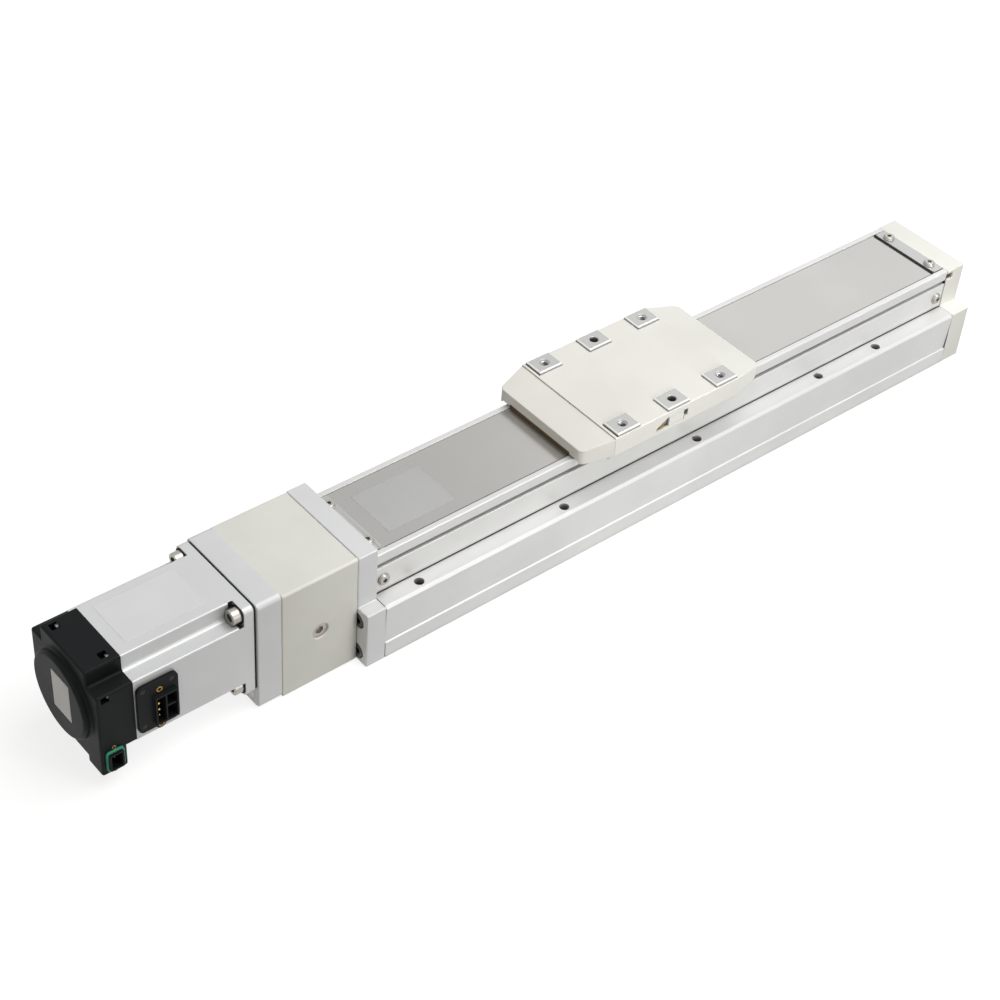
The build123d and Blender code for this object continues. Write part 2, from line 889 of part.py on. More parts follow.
def motor_body():
    """Extruded motor case with notched corners and a window for the power connector."""
    case = cross_x(motor_seam, motor_flange_face, motor_flange_width, motor_arm_width,
                   motor_notch_radius)
    case -= rod_x(motor_seam + motor_rear_wall, motor_flange_face, motor_bore_radius)
    inner = motor_seam + motor_rear_wall
    case -= rod_x(inner - motor_bearing_width, inner, motor_bearing_radius)
    case -= rod_x(motor_seam, inner, motor_journal_radius + 1.0)
    case -= power_boss()
    for _, y, z in cover_pockets():
        case -= rod_x(motor_seam, motor_seam + cover_screw_grip, cover_screw_radius, y, z)
    return case


def stator():
    """Wound stator ring pressed in the motor case."""
    middle = stator_middle()
    return ring_x(middle - stator_length / 2, middle + stator_length / 2,
                  motor_bore_radius, stator_inner_radius)


def stator_middle():
    """Return the X place of the stator's and rotor's middle."""
    return (motor_seam + motor_rear_wall + motor_flange_face - motor_spigot_length) / 2


def motor_bearing_places():
    """Return the X ranges of the two motor bearings."""
    front = motor_flange_face - motor_spigot_length
    rear = motor_seam + motor_rear_wall - motor_bearing_width
    return [(front, front + motor_bearing_width), (rear, rear + motor_bearing_width)]


def outer_ring(x0, x1, radius, bore):
    """Outer ring of a shielded bearing, down to its running gap."""
    return ring_x(x0, x1, radius, bore + bearing_ring_thickness + bearing_running_gap)


def inner_ring(x0, x1, bore):
    """Inner ring of a shielded bearing."""
    return ring_x(x0, x1, bore + bearing_ring_thickness, bore)


def rotor_shaft():
    """Motor shaft with its output end, journals and encoder end."""
    output_end = motor_plate_face + motor_shaft_reach
    front = motor_flange_face - motor_spigot_length + motor_bearing_width
    rear = motor_seam + motor_rear_wall - motor_bearing_width
    shaft = rod_x(front, output_end, motor_shaft_radius)
    shaft += rod_x(rear, front, motor_journal_radius)
    shaft += rod_x(motor_seam - encoder_shaft_length, rear, encoder_shaft_radius)
    return shaft


def rotor_magnet():
    """Magnet sleeve on the motor shaft."""
    middle = stator_middle()
    return ring_x(middle - rotor_length / 2, middle + rotor_length / 2,
                  rotor_radius, motor_journal_radius)


def encoder_disc():
    """Code disc and hub at the end of the motor shaft."""
    face = motor_seam - encoder_shaft_length + encoder_disc_inset
    disc = ring_x(face, face + encoder_disc_thickness, encoder_disc_radius,
                  encoder_shaft_radius)
    hub = ring_x(face, face + encoder_hub_length, encoder_hub_radius, encoder_shaft_radius)
    return disc + hub


def encoder_board():
    """Circuit board with the reading head, on four posts on the motor's rear face."""
    half = encoder_board_width / 2
    back = motor_seam - encoder_standoff_length - encoder_board_thickness
    front = motor_seam - encoder_standoff_length
    board = block(back, front, -half, half, axis_height - half, axis_height + half)
    board -= rod_x(back, front, encoder_hub_radius + encoder_board_clearance)
    post = half - encoder_standoff_radius - 1.0
    for y in (-post, post):
        for z in (-post, post):
            board += rod_x(front, motor_seam, encoder_standoff_radius, y, axis_height + z)
    disc_face = motor_seam - encoder_shaft_length + encoder_disc_inset
    disc_face += encoder_disc_thickness
    low = axis_height + encoder_disc_radius - reading_head_size
    board += block(disc_face + reading_head_gap, back, -reading_head_size / 2,
                   reading_head_size / 2, low, low + reading_head_size)
    return board


def encoder_block_box():
    """Box of the block that hangs at the near lower corner of the encoder cover."""
    near = -motor_flange_width / 2
    back = encoder_cover_face
    return block(back, back + encoder_block_length, near, near + encoder_block_depth,
                 encoder_block_bottom, axis_height - motor_arm_width / 2
                 + encoder_block_overlap)


def cover_pockets():
    """Return the screw windows of the encoder cover as (x middle, y, z) places."""
    depth = motor_flange_width / 2 - pocket_depth / 2
    near_x = motor_seam - pocket_near_offset
    far_x = motor_seam - pocket_far_offset
    shoulder = motor_arm_width / 2 - pocket_depth / 2
    return [
        (near_x, -pocket_reach, axis_height + depth),
        (far_x, pocket_reach, axis_height + depth),
        (far_x, -depth, axis_height + shoulder),
        (far_x, depth, axis_height - shoulder),
    ]


def encoder_cover():
    """Moulded rear cover of the motor with a round boss and a connector block."""
    cover = cross_x(encoder_cover_face, motor_seam, motor_flange_width, motor_arm_width,
                    motor_notch_radius)
    cover += encoder_block_box()
    boss = rod_x(encoder_cover_face - encoder_boss_height, encoder_cover_face,
                 encoder_boss_radius)
    rim = boss.edges().group_by(Axis.X)[0]
    cover += fillet(rim, encoder_boss_edge)
    wall = encoder_cover_wall
    cover -= cross_x(encoder_cover_face + wall, motor_seam,
                     motor_flange_width - 2 * pocket_depth - 2 * wall,
                     motor_arm_width - 2 * wall, motor_notch_radius)
    cover -= rod_x(encoder_cover_face - encoder_boss_height + wall, encoder_cover_face + wall,
                   encoder_boss_radius - 2 * wall)
    half = pocket_width / 2
    for x, y, z in cover_pockets():
        on_top = abs(y) < motor_arm_width / 2
        half_y = half if on_top else pocket_depth / 2
        cover -= block(x - half, x + half, y - half_y, y + half_y,
                       z - pocket_depth / 2, z + pocket_depth / 2)
        cover -= rod_x(x, motor_seam, cover_screw_radius, y, z)
    cover -= signal_recess()
    for x, z in signal_insert_places():
        cover -= rod_y(-motor_flange_width / 2, signal_body_depth / 2 - motor_flange_width / 2,
                       signal_insert_radius, x, z)
    return cover


def encoder_cover_screws():
    """Long screws from the cover's pockets into the rear of the motor."""
    screws = []
    for x, y, z in cover_pockets():
        seat = x + pocket_width / 2
        screw = socket_screw(cover_screw_radius, motor_seam + cover_screw_grip - seat,
                             cover_screw_head_radius, cover_screw_head_height)
        screws.append(aimed(screw, (seat, y, z), (-1, 0, 0)))
    return group(screws)


# Connectors


def power_plate_start():
    """Return the X place of the power connector's rear edge."""
    return motor_seam + power_plate_gap


def power_boss():
    """Back of the power connector, which is also the window it fits in the motor case."""
    near = -motor_flange_width / 2
    start = power_plate_start()
    margin = power_boss_margin
    half = power_plate_height / 2 - margin
    return block(start + margin, start + power_plate_length - margin, near,
                 near + power_boss_depth, axis_height - half, axis_height + half)


def power_shroud_box():
    """Return the shroud's rear, front, lower and upper edges on the connector's face."""
    start = power_plate_start()
    x1 = start + power_plate_length - power_shroud_side_margin
    z0 = axis_height - power_plate_height / 2 + power_shroud_base_margin
    return (x1 - power_shroud_length, x1, z0, z0 + power_shroud_height)


def power_connector():
    """Black connector plate with a two-bay shroud."""
    near = -motor_flange_width / 2
    start = power_plate_start()
    half = power_plate_height / 2
    plate = block(start, start + power_plate_length, near - power_plate_thickness, near,
                  axis_height - half, axis_height + half)
    plate = fillet(plate.edges().filter_by(Axis.Y), power_plate_corner)
    plate += power_boss()
    x0, x1, z0, z1 = power_shroud_box()
    face = near - power_plate_thickness - power_shroud_rise
    plate += block(x0, x1, face, near, z0, z1)
    wall = power_shroud_wall
    floor = face + power_socket_depth
    split = x0 + wall + power_pin_bay
    plate -= block(x0 + wall, split, face, floor, z0 + wall, z1 - wall)
    plate -= block(split + power_divider, x1 - wall, face, floor, z0 + wall, z1 - wall)
    for x, z in power_insert_places():
        if z < axis_height - half + insert_radius:
            plate += rod_y(near - power_plate_thickness, near,
                           insert_radius + power_insert_lug, x, z)
    for x, z in power_insert_places():
        plate -= rod_y(near - power_plate_thickness, near, insert_radius, x, z)
    for x, z in power_screw_places():
        floor = near - power_plate_thickness + power_screw_depth
        plate -= rod_y(near - power_plate_thickness, floor,
                       power_screw_radius + thread_gap, x, z)
    return plate


def power_insert_places():
    """Return the (x, z) places of the two brass inserts."""
    x = power_plate_start() + power_plate_length / 2 + power_insert_shift
    half = power_plate_height / 2
    return [(x, axis_height + half - power_insert_top_inset),
            (x, axis_height - half + power_insert_bottom_inset)]


def power_screw_places():
    """Return the (x, z) places of the corner screws."""
    start = power_plate_start()
    half = power_plate_height / 2 - power_screw_inset
    xs = (start + power_screw_inset, start + power_plate_length - power_screw_inset)
    upper = [(x, axis_height + half) for x in xs]
    return upper + [(xs[0], axis_height - half)]


def power_screws():
    """Small screws in the corners of the power connector."""
    face = -motor_flange_width / 2 - power_plate_thickness
    screws = [rod_y(face + power_screw_sink, face + power_screw_depth, power_screw_radius, x, z)
              for x, z in power_screw_places()]
    return group(screws)


def signal_middle():
    """Return the X place of the encoder connector's middle."""
    return encoder_cover_face + encoder_block_length / 2


def signal_recess():
    """Body of the encoder connector, which is also the recess it fits in the cover."""
    near = -motor_flange_width / 2
    half_x = signal_shroud_length / 2
    half_z = signal_shroud_height / 2
    x = signal_middle()
    body = block(x - half_x, x + half_x, near, near + signal_body_depth,
                 signal_centre_height - half_z, signal_centre_height + half_z)
    return fillet(body.edges().filter_by(Axis.Y), signal_corner_radius)


def signal_insert_places():
    """Return the (x, z) places of the encoder connector's two inserts."""
    reach = signal_shroud_height / 2 + signal_seal_width + signal_insert_radius
    reach += signal_insert_gap
    return [(signal_middle(), signal_centre_height + side * reach) for side in (-1, 1)]


def encoder_connector():
    """Shrouded plug socket for the encoder cable."""
    near = -motor_flange_width / 2
    half_x = signal_shroud_length / 2
    half_z = signal_shroud_height / 2
    x = signal_middle()
    face = near - signal_shroud_rise
    shroud = block(x - half_x, x + half_x, face, near,
                   signal_centre_height - half_z, signal_centre_height + half_z)
    shroud = fillet(shroud.edges().filter_by(Axis.Y), signal_corner_radius)
    body = signal_recess() + shroud
    wall = signal_shroud_wall
    body -= block(x - half_x + wall, x + half_x - wall, face, face + signal_socket_depth,
                  signal_centre_height - half_z + wall, signal_centre_height + half_z - wall)
    return body


def encoder_seal():
    """Green rubber ring round the encoder connector."""
    near = -motor_flange_width / 2
    x = signal_middle()
    inner_x = signal_shroud_length / 2
    inner_z = signal_shroud_height / 2
    outer_x = inner_x + signal_seal_width
    outer_z = inner_z + signal_seal_width
    ring = block(x - outer_x, x + outer_x, near - signal_seal_height, near,
                 signal_centre_height - outer_z, signal_centre_height + outer_z)
    ring = fillet(ring.edges().filter_by(Axis.Y), signal_seal_corner_radius)
    core = block(x - inner_x, x + inner_x, near - signal_seal_height, near,
                 signal_centre_height - inner_z, signal_centre_height + inner_z)
    return ring - fillet(core.edges().filter_by(Axis.Y), signal_corner_radius)


def connector_pins():
    """Contact pins of both connectors."""
    near = -motor_flange_width / 2
    x0, _, z0, z1 = power_shroud_box()
    floor = near - power_plate_thickness - power_shroud_rise + power_socket_depth
    x = x0 + power_shroud_wall + power_pin_bay / 2
    step = (z1 - z0 - 2 * power_shroud_wall) / power_pin_count
    pins = []
    for index in range(power_pin_count):
        z = z0 + power_shroud_wall + step * (index + 0.5)
        pins.append(rod_y(floor - power_pin_length, floor, power_pin_radius, x, z))
    floor = near - signal_shroud_rise + signal_socket_depth
    for row in range(signal_pin_rows):
        for column in range(signal_pin_columns):
            x = signal_middle() + (row - (signal_pin_rows - 1) / 2) * signal_pin_row_pitch
            z = signal_centre_height
            z += (column - (signal_pin_columns - 1) / 2) * signal_pin_column_pitch
            pins.append(rod_y(floor - signal_pin_length, floor, signal_pin_radius, x, z))
    return group(pins)


def brass_inserts():
    """Threaded brass inserts that the cable plugs are screwed to."""
    near = -motor_flange_width / 2
    inserts = []
    for x, z in power_insert_places():
        face = near - power_plate_thickness - insert_stand_out
        inserts.append(rod_y(face, near, insert_radius, x, z)
                       - rod_y(face, near, insert_bore_radius, x, z))
    for x, z in signal_insert_places():
        face = near - insert_stand_out
        back = near + signal_body_depth / 2
        inserts.append(rod_y(face, back, signal_insert_radius, x, z)
                       - rod_y(face, back, signal_insert_bore_radius, x, z))
    return group(inserts)


# Guides and carriage


def rail(side_sign):
    """Ground guide rail with side grooves and sunk screw holes."""
    half = rail_width / 2
    middle = (rail_bottom + rail_top) / 2 + rail_seat_depth
    groove = rail_groove_height / 2
    outline = [
        (0, rail_bottom),
        (half, rail_bottom),
        (half, middle - groove),
        (half - rail_groove_depth, middle),
        (half, middle + groove),
        (half, rail_top),
        (0, rail_top),
    ]
    bar = prism_x(both_sides(outline), -rail_length / 2, rail_length / 2)
    bar = Pos(0, side_sign * rail_spacing / 2, 0) * bar
    for x, y in rail_screw_places():
        if y * side_sign > 0:
            bar -= rod_z(rail_bottom, rail_top, rail_screw_radius, x, y)
            bar -= rod_z(rail_top - rail_screw_seat_depth, rail_top,
                         rail_screw_head_radius + thread_gap, x, y)
    return bar


def rail_screws():
    """Cap screws that hold both rails."""
    screw = socket_screw(rail_screw_radius, rail_screw_length, rail_screw_head_radius,
                         rail_screw_head_height)
    seat = rail_top - rail_screw_seat_depth
    return group([Pos(x, y, seat) * screw for x, y in rail_screw_places()])


def guide_stud_places():
    """Return the (x, y) places of the studs between the runner blocks and the carriage."""
    return [(carriage_centre + end * guide_block_spacing / 2 + step * guide_block_length / 4,
             side * rail_spacing / 2)
            for side in (-1, 1) for end in (-1, 1) for step in (-1, 1)]


def guide_blocks():
    """The four runner blocks, two on each rail."""
    inner = rail_width / 2 + guide_clearance
    half = guide_block_width / 2
    low = base_floor_thickness + guide_block_floor_gap
    under = rail_top + guide_clearance
    outline = [
        (inner, low),
        (half, low),
        (half, guide_block_top),
        (-half, guide_block_top),
        (-half, low),
        (-inner, low),
        (-inner, under),
        (inner, under),
    ]
    runner = prism_x(outline, -guide_block_length / 2, guide_block_length / 2)
    for step in (-1, 1):
        runner -= rod_z(rail_top + 1.0, guide_block_top, saddle_screw_radius,
                        step * guide_block_length / 4, 0)
    places = [(carriage_centre + end * guide_block_spacing / 2, side * rail_spacing / 2)
              for side in (-1, 1) for end in (-1, 1)]
    return group([Pos(x, y, 0) * runner for x, y in places])


def guide_studs():
    """Studs that hold the carriage block down on the runner blocks."""
    return group([rod_z(rail_top + guide_stud_foot, guide_block_top + guide_stud_grip,
                        saddle_screw_radius, x, y) for x, y in guide_stud_places()])


def carriage_block():
    """Aluminium block that carries the ball nut on the runner blocks."""
    x0 = carriage_centre - carriage_block_length / 2
    x1 = carriage_centre + carriage_block_length / 2
    half = carriage_block_width / 2
    body = block(x0, x1, -half, half, guide_block_top, saddle_bottom)
    body = chamfer(body.edges().filter_by(Axis.Z), 1.0)
    body -= block(x0, x1, -carriage_groove_width / 2, carriage_groove_width / 2,
                  guide_block_top, guide_block_top + carriage_groove_height)
    body -= rod_x(x0, x1, screw_passage_radius)
    body -= rod_x(x0, x0 + nut_body_length, nut_radius + nut_pocket_clearance)
    for y, z in nut_screw_places():
        body -= rod_x(x0, x0 + nut_screw_length - nut_flange_thickness, nut_screw_radius, y, z)
    for x, y in saddle_screw_places():
        body -= rod_z(saddle_top - saddle_screw_length, saddle_bottom, saddle_screw_radius, x, y)
    for x, y in guide_stud_places():
        body -= rod_z(guide_block_top, guide_block_top + guide_stud_grip, saddle_screw_radius,
                      x, y)
    return body


def nut_screw_places():
    """Return the (y, z) places of the nut flange screws."""
    across = nut_screw_across / 2
    apart = nut_screw_apart / 2
    return [(y * across, axis_height + z * apart) for y in (-1, 1) for z in (-1, 1)]


def ball_nut():
    """Flanged ball nut with flats above and below."""
    face = carriage_centre - carriage_block_length / 2
    flange = rod_x(face - nut_flange_thickness, face, nut_flange_radius)
    half = nut_flange_height / 2
    flats = block(face - nut_flange_thickness, face, -nut_flange_radius, nut_flange_radius,
                  axis_height - half, axis_height + half)
    nut = (flange & flats) + rod_x(face, face + nut_body_length, nut_radius)
    nut -= rod_x(face - nut_flange_thickness, face + nut_body_length,
                 screw_radius + bearing_running_gap)
    for y, z in nut_screw_places():
        nut -= rod_x(face - nut_flange_thickness, face, nut_screw_radius, y, z)
        nut -= rod_x(face - nut_flange_thickness, face - nut_flange_thickness
                     + nut_screw_head_height, nut_screw_head_radius + thread_gap, y, z)
    return nut


def nut_screws():
    """Four screws through the nut flange."""
    face = carriage_centre - carriage_block_length / 2 - nut_flange_thickness
    screw = socket_screw(nut_screw_radius, nut_screw_length - nut_screw_head_height,
                         nut_screw_head_radius, nut_screw_head_height)
    seat = face + nut_screw_head_height
    return group([aimed(screw, (seat, y, z), (-1, 0, 0)) for y, z in nut_screw_places()])


def saddle_screw_places():
    """Return the (x, y) places of the saddle screws."""
    row = saddle_screw_row / 2
    return [(carriage_centre + step * saddle_screw_spacing, side * row)
            for step in (-1, 0, 1) for side in (-1, 1)]


def table_screw_places():
    """Return the (x, y) places of the screws in the saddle's outer flanges."""
    row = leg_outer + saddle_flange_width / 2
    return [(carriage_centre + end * table_screw_spacing / 2, side * row)
            for end in (-1, 1) for side in (-1, 1)]


def carriage_saddle():
    """Formed steel saddle that passes out through both side slots and up to the table."""
    x0 = carriage_centre - saddle_length / 2
    x1 = carriage_centre + saddle_length / 2
    outer = leg_outer + saddle_flange_width
    half = [
        (0, saddle_bottom),
        (leg_outer, saddle_bottom),
        (leg_outer, table_bottom - saddle_flange_thickness),
        (outer, table_bottom - saddle_flange_thickness),
        (outer, table_bottom),
        (leg_inner, table_bottom),
        (leg_inner, saddle_top),
        (0, saddle_top),
    ]
    saddle = prism_x(both_sides(half), x0, x1)
    for x, y in saddle_screw_places():
        hole = flat_screw_hole(saddle_screw_radius, saddle_thickness + 1.0,
                               saddle_screw_head_radius)
        saddle -= Pos(x, y, saddle_top) * hole
    for x, y in table_screw_places():
        saddle -= rod_z(table_bottom - saddle_flange_thickness, table_bottom,
                        table_screw_radius, x, y)
    return saddle


def saddle_screws():
    """Six flush screws that hold the saddle to the carriage block."""
    screw = flat_screw(saddle_screw_radius, saddle_screw_length, saddle_screw_head_radius)
    return group([Pos(x, y, saddle_top) * screw for x, y in saddle_screw_places()])


def table_screws():
    """Four small screws that hold the table to the saddle's flanges."""
    screw = socket_screw(table_screw_radius, table_screw_length, table_screw_head_radius,
                         table_screw_head_height)
    bottom = table_bottom - saddle_flange_thickness
    return group([aimed(screw, (x, y, bottom), (0, 0, -1)) for x, y in table_screw_places()])


def pad_places():
    """Return (x, y, is_corner) for the six mounting pads."""
    places = []
    for step in (-1, 0, 1):
        for side in (-1, 1):
            x = carriage_centre + step * pad_pitch
            places.append((x, side * pad_row_spacing / 2, step != 0))
    return places


def slider_table():
    """Aluminium table with six raised pads, four tapped and two dowelled."""
    x0 = carriage_centre - table_length / 2
    x1 = carriage_centre + table_length / 2
    half = table_width / 2
    table = block(x0, x1, -half, half, table_bottom, table_top)
    table = chamfer(table.edges().filter_by(Axis.Z), 1.0)
    for x, y, _ in pad_places():
        table += block(x - pad_length / 2, x + pad_length / 2, y - pad_width / 2,
                       y + pad_width / 2, table_top, pad_top)
    for x, y, is_corner in pad_places():
        radius = pad_thread_radius if is_corner else dowel_radius
        depth = pad_thread_depth if is_corner else dowel_depth
        table -= rod_z(pad_top - depth, pad_top, radius, x, y)
    tip = table_bottom - saddle_flange_thickness + table_screw_length
    for x, y in table_screw_places():
        table -= rod_z(table_bottom, tip, table_screw_radius, x, y)
    return table


def cover_solid(inset):
    """Outer form of the slider cover, or the form inside its wall."""
    c = carriage_centre
    main = cover_main_length / 2 - inset / 2
    total = cover_total_length / 2 - inset
    half = cover_width / 2 - inset
    end_half = cover_end_width / 2 - inset
    plan = [
        (c - total, -end_half),
        (c - main, -half),
        (c + main, -half),
        (c + total, -end_half),
        (c + total, end_half),
        (c + main, half),
        (c - main, half),
        (c - total, end_half),
    ]
    top = cover_top - inset
    step = cover_top - cover_end_step - inset
    low = cover_end_top - inset
    skirt = cover_skirt_bottom - inset
    profile = [
        (c - total, skirt),
        (c + total, skirt),
        (c + total, low),
        (c + main, step),
        (c + main, top),
        (c - main, top),
        (c - main, step),
        (c - total, low),
    ]
    form = prism_z(plan, skirt - 1.0, top + 1.0)
    corners = form.edges().filter_by(Axis.Z)
    ends = corners.group_by(Axis.X)
    form = fillet(ends[0] + ends[-1], max(cover_corner_radius - inset, 0.5))
    return form & prism_y(profile, -half - 1.0, half + 1.0)


def slider_cover():
    """Moulded cover over the table, with windows for the pads and the grease door."""
    shell = cover_solid(0.0) - cover_solid(cover_wall)
    reach = cover_total_length / 2
    passage = cover_end_width / 2 - cover_wall
    shell -= block(carriage_centre - reach, carriage_centre + reach, -passage, passage,
                   cover_skirt_bottom - 1.0, cover_end_bottom)
    gap = pad_window_clearance
    for x, y, _ in pad_places():
        shell -= block(x - pad_length / 2 - gap, x + pad_length / 2 + gap,
                       y - pad_width / 2 - gap, y + pad_width / 2 + gap,
                       table_top - 0.5, pad_top)
    x0 = carriage_centre + door_window_start
    near = -cover_width / 2
    shell -= block(x0, x0 + door_window_length, near, near + cover_wall,
                   cover_skirt_bottom, cover_skirt_bottom + door_window_height)
    return shell


def grease_door():
    """Small slide-in door over the greasing window."""
    x1 = carriage_centre + door_window_start + door_window_length
    near = -cover_width / 2
    return block(x1 - door_length, x1 - door_fit, near + door_sink, near + cover_wall,
                 cover_skirt_bottom, cover_skirt_bottom + door_window_height - door_fit)


def roller_bracket(end):
    """Fork at one end of the table that carries a strip roller."""
    inner = roller_length / 2 + roller_end_gap
    outer = inner + bracket_thickness
    table_end = carriage_centre + end * table_length / 2
    tip = carriage_centre + end * (roller_offset + bracket_reach)
    bar_end = table_end + end * bracket_bar_thickness
    low = roller_height - roller_journal_radius - bracket_wall
    x0, x1 = sorted((table_end, bar_end))
    fork = block(x0, x1, -outer, outer, table_bottom, table_top - bracket_top_drop)
    x0, x1 = sorted((table_end, tip))
    for side in (-1, 1):
        y0, y1 = sorted((side * inner, side * outer))
        fork += block(x0, x1, y0, y1, low, table_top - bracket_top_drop)
        fork -= rod_y(y0, y1, roller_journal_radius + bearing_running_gap,
                      carriage_centre + end * roller_offset, roller_height)
    return fork


def strip_roller(end):
    """Roller that runs on the strip inside one end of the slider."""
    x = carriage_centre + end * roller_offset
    half = roller_length / 2
    reach = half + roller_journal_length
    roller = rod_y(-half, half, roller_radius, x, roller_height)
    return roller + rod_y(-reach, reach, roller_journal_radius, x, roller_height)


def bumpers(front):
    """Pair of rubber stops on a lug, just short of the carriage block at full travel."""
    x0, x1 = lug_rear - bumper_length, lug_rear
    if front:
        x0, x1 = lug_front, lug_front + bumper_length
    stops = []
    for side in (-1, 1):
        stop = rod_x(x0, x1, bumper_radius, side * bumper_spacing / 2, bumper_height)
        free_end = stop.edges().group_by(Axis.X)[-1 if front else 0]
        stops.append(fillet(free_end, bumper_edge_radius))
    return group(stops)


# Screw line


def front_bearing_places():
    """Return the X ranges of the fixed bearings."""
    return [(front_plate_face + index * front_bearing_width,
             front_plate_face + (index + 1) * front_bearing_width)
            for index in range(front_bearing_count)]


def rear_bearing_place():
    """Return the X range of the floating bearing."""
    return (lug_rear, lug_rear + rear_bearing_width)


def screw_shaft():
    """Screw with its turned journals; the thread is shown by the finish."""
    shoulder = front_bearing_places()[-1][1]
    rear0, rear1 = rear_bearing_place()
    shaft = rod_x(shoulder, rear0, screw_radius)
    shaft += rod_x(front_plate_face - front_journal_reach, shoulder, front_journal_radius)
    shaft += rod_x(rear0, rear1 + 0.5, rear_journal_radius)
    return shaft


def lock_nut():
    """Slotted nut that clamps the fixed bearings' inner rings."""
    x1 = front_plate_face
    nut = ring_x(x1 - lock_nut_width, x1, lock_nut_radius, front_journal_radius)
    half = lock_nut_slot_width / 2
    for index in range(lock_nut_slots):
        notch = block(x1 - lock_nut_width, x1 - lock_nut_slot_floor, -half, half,
                      lock_nut_radius - lock_nut_slot_depth, lock_nut_radius + 1.0)
        nut -= Pos(0, 0, axis_height) * Rot(index * 360.0 / lock_nut_slots, 0, 0) * notch
    return nut


def wedge(x0, x1, inner, outer, start, sweep):
    """Sector of a ring round the screw axis."""
    reach = outer * 2.0
    points = [(0, 0)]
    for part in (0.0, 0.5, 1.0):
        angle = math.radians(start + sweep * part)
        points.append((reach * math.cos(angle), reach * math.sin(angle)))
    sector = prism_x(points, x0, x1)
    ring = rod_x(x0, x1, outer, 0, 0) - rod_x(x0, x1, inner, 0, 0)
    return Pos(0, 0, axis_height) * (sector & ring)


def coupling_hub(x0, x1, bore, jaw_side, first_angle):
    """Clamp hub with three jaws towards the spider."""
    hub = ring_x(x0, x1, hub_radius, bore)
    face = x1 if jaw_side > 0 else x0
    tip = face + jaw_side * (spider_width - jaw_end_gap)
    low, high = sorted((face, tip))
    for index in range(jaw_count):
        hub += wedge(low, high, jaw_inner_radius, hub_radius,
                     first_angle + 360.0 / jaw_count * index - jaw_angle / 2, jaw_angle)
    hub -= block(x0, x1, -hub_slit_width / 2, hub_slit_width / 2,
                 axis_height - hub_radius, axis_height)
    middle = (x0 + x1) / 2
    hub -= rod_y(-hub_radius, hub_radius, hub_screw_radius, middle, hub_screw_height)
    half = hub_screw_length / 2
    seat = -half + hub_screw_head_height
    hub -= rod_y(-hub_radius, seat, hub_screw_head_radius + thread_gap, middle,
                 hub_screw_height)
    return hub


def hub_screws():
    """Clamp screws of the two coupling hubs."""
    seat = -hub_screw_length / 2 + hub_screw_head_height
    screw = socket_screw(hub_screw_radius, hub_screw_length - hub_screw_head_height,
                         hub_screw_head_radius, hub_screw_head_height)
    motor_middle = motor_hub_near - hub_length / 2
    return group([aimed(screw, (x, seat, hub_screw_height), (0, -1, 0))
                  for x in (hub_screw_x, motor_middle)])


def coupling_spider():
    """Rubber star between the jaws of the two hubs."""
    step = 180.0 / jaw_count
    sweep = step - jaw_angle
    star = ring_x(motor_hub_near + jaw_end_gap, screw_hub_near - jaw_end_gap,
                  jaw_inner_radius - thread_gap, jaw_inner_radius - spider_core_wall)
    for index in range(2 * jaw_count):
        start = step * (index + 0.5) - sweep / 2
        star += wedge(motor_hub_near + jaw_end_gap, screw_hub_near - jaw_end_gap,
                      jaw_inner_radius - 1.0, hub_radius - 0.5, start, sweep)
    return star


front_bearings = front_bearing_places()
rear_bearing = rear_bearing_place()
motor_bearings = motor_bearing_places()
outer_rings = [outer_ring(x0, x1, front_bearing_radius, front_journal_radius)
               for x0, x1 in front_bearings]
outer_rings += [outer_ring(*rear_bearing, rear_bearing_radius, rear_journal_radius)]
outer_rings += [outer_ring(x0, x1, motor_bearing_radius, motor_journal_radius)
                for x0, x1 in motor_bearings]
inner_rings = [inner_ring(x0, x1, front_journal_radius) for x0, x1 in front_bearings]
inner_rings += [inner_ring(*rear_bearing, rear_journal_radius)]
inner_rings += [inner_ring(x0, x1, motor_journal_radius) for x0, x1 in motor_bearings]

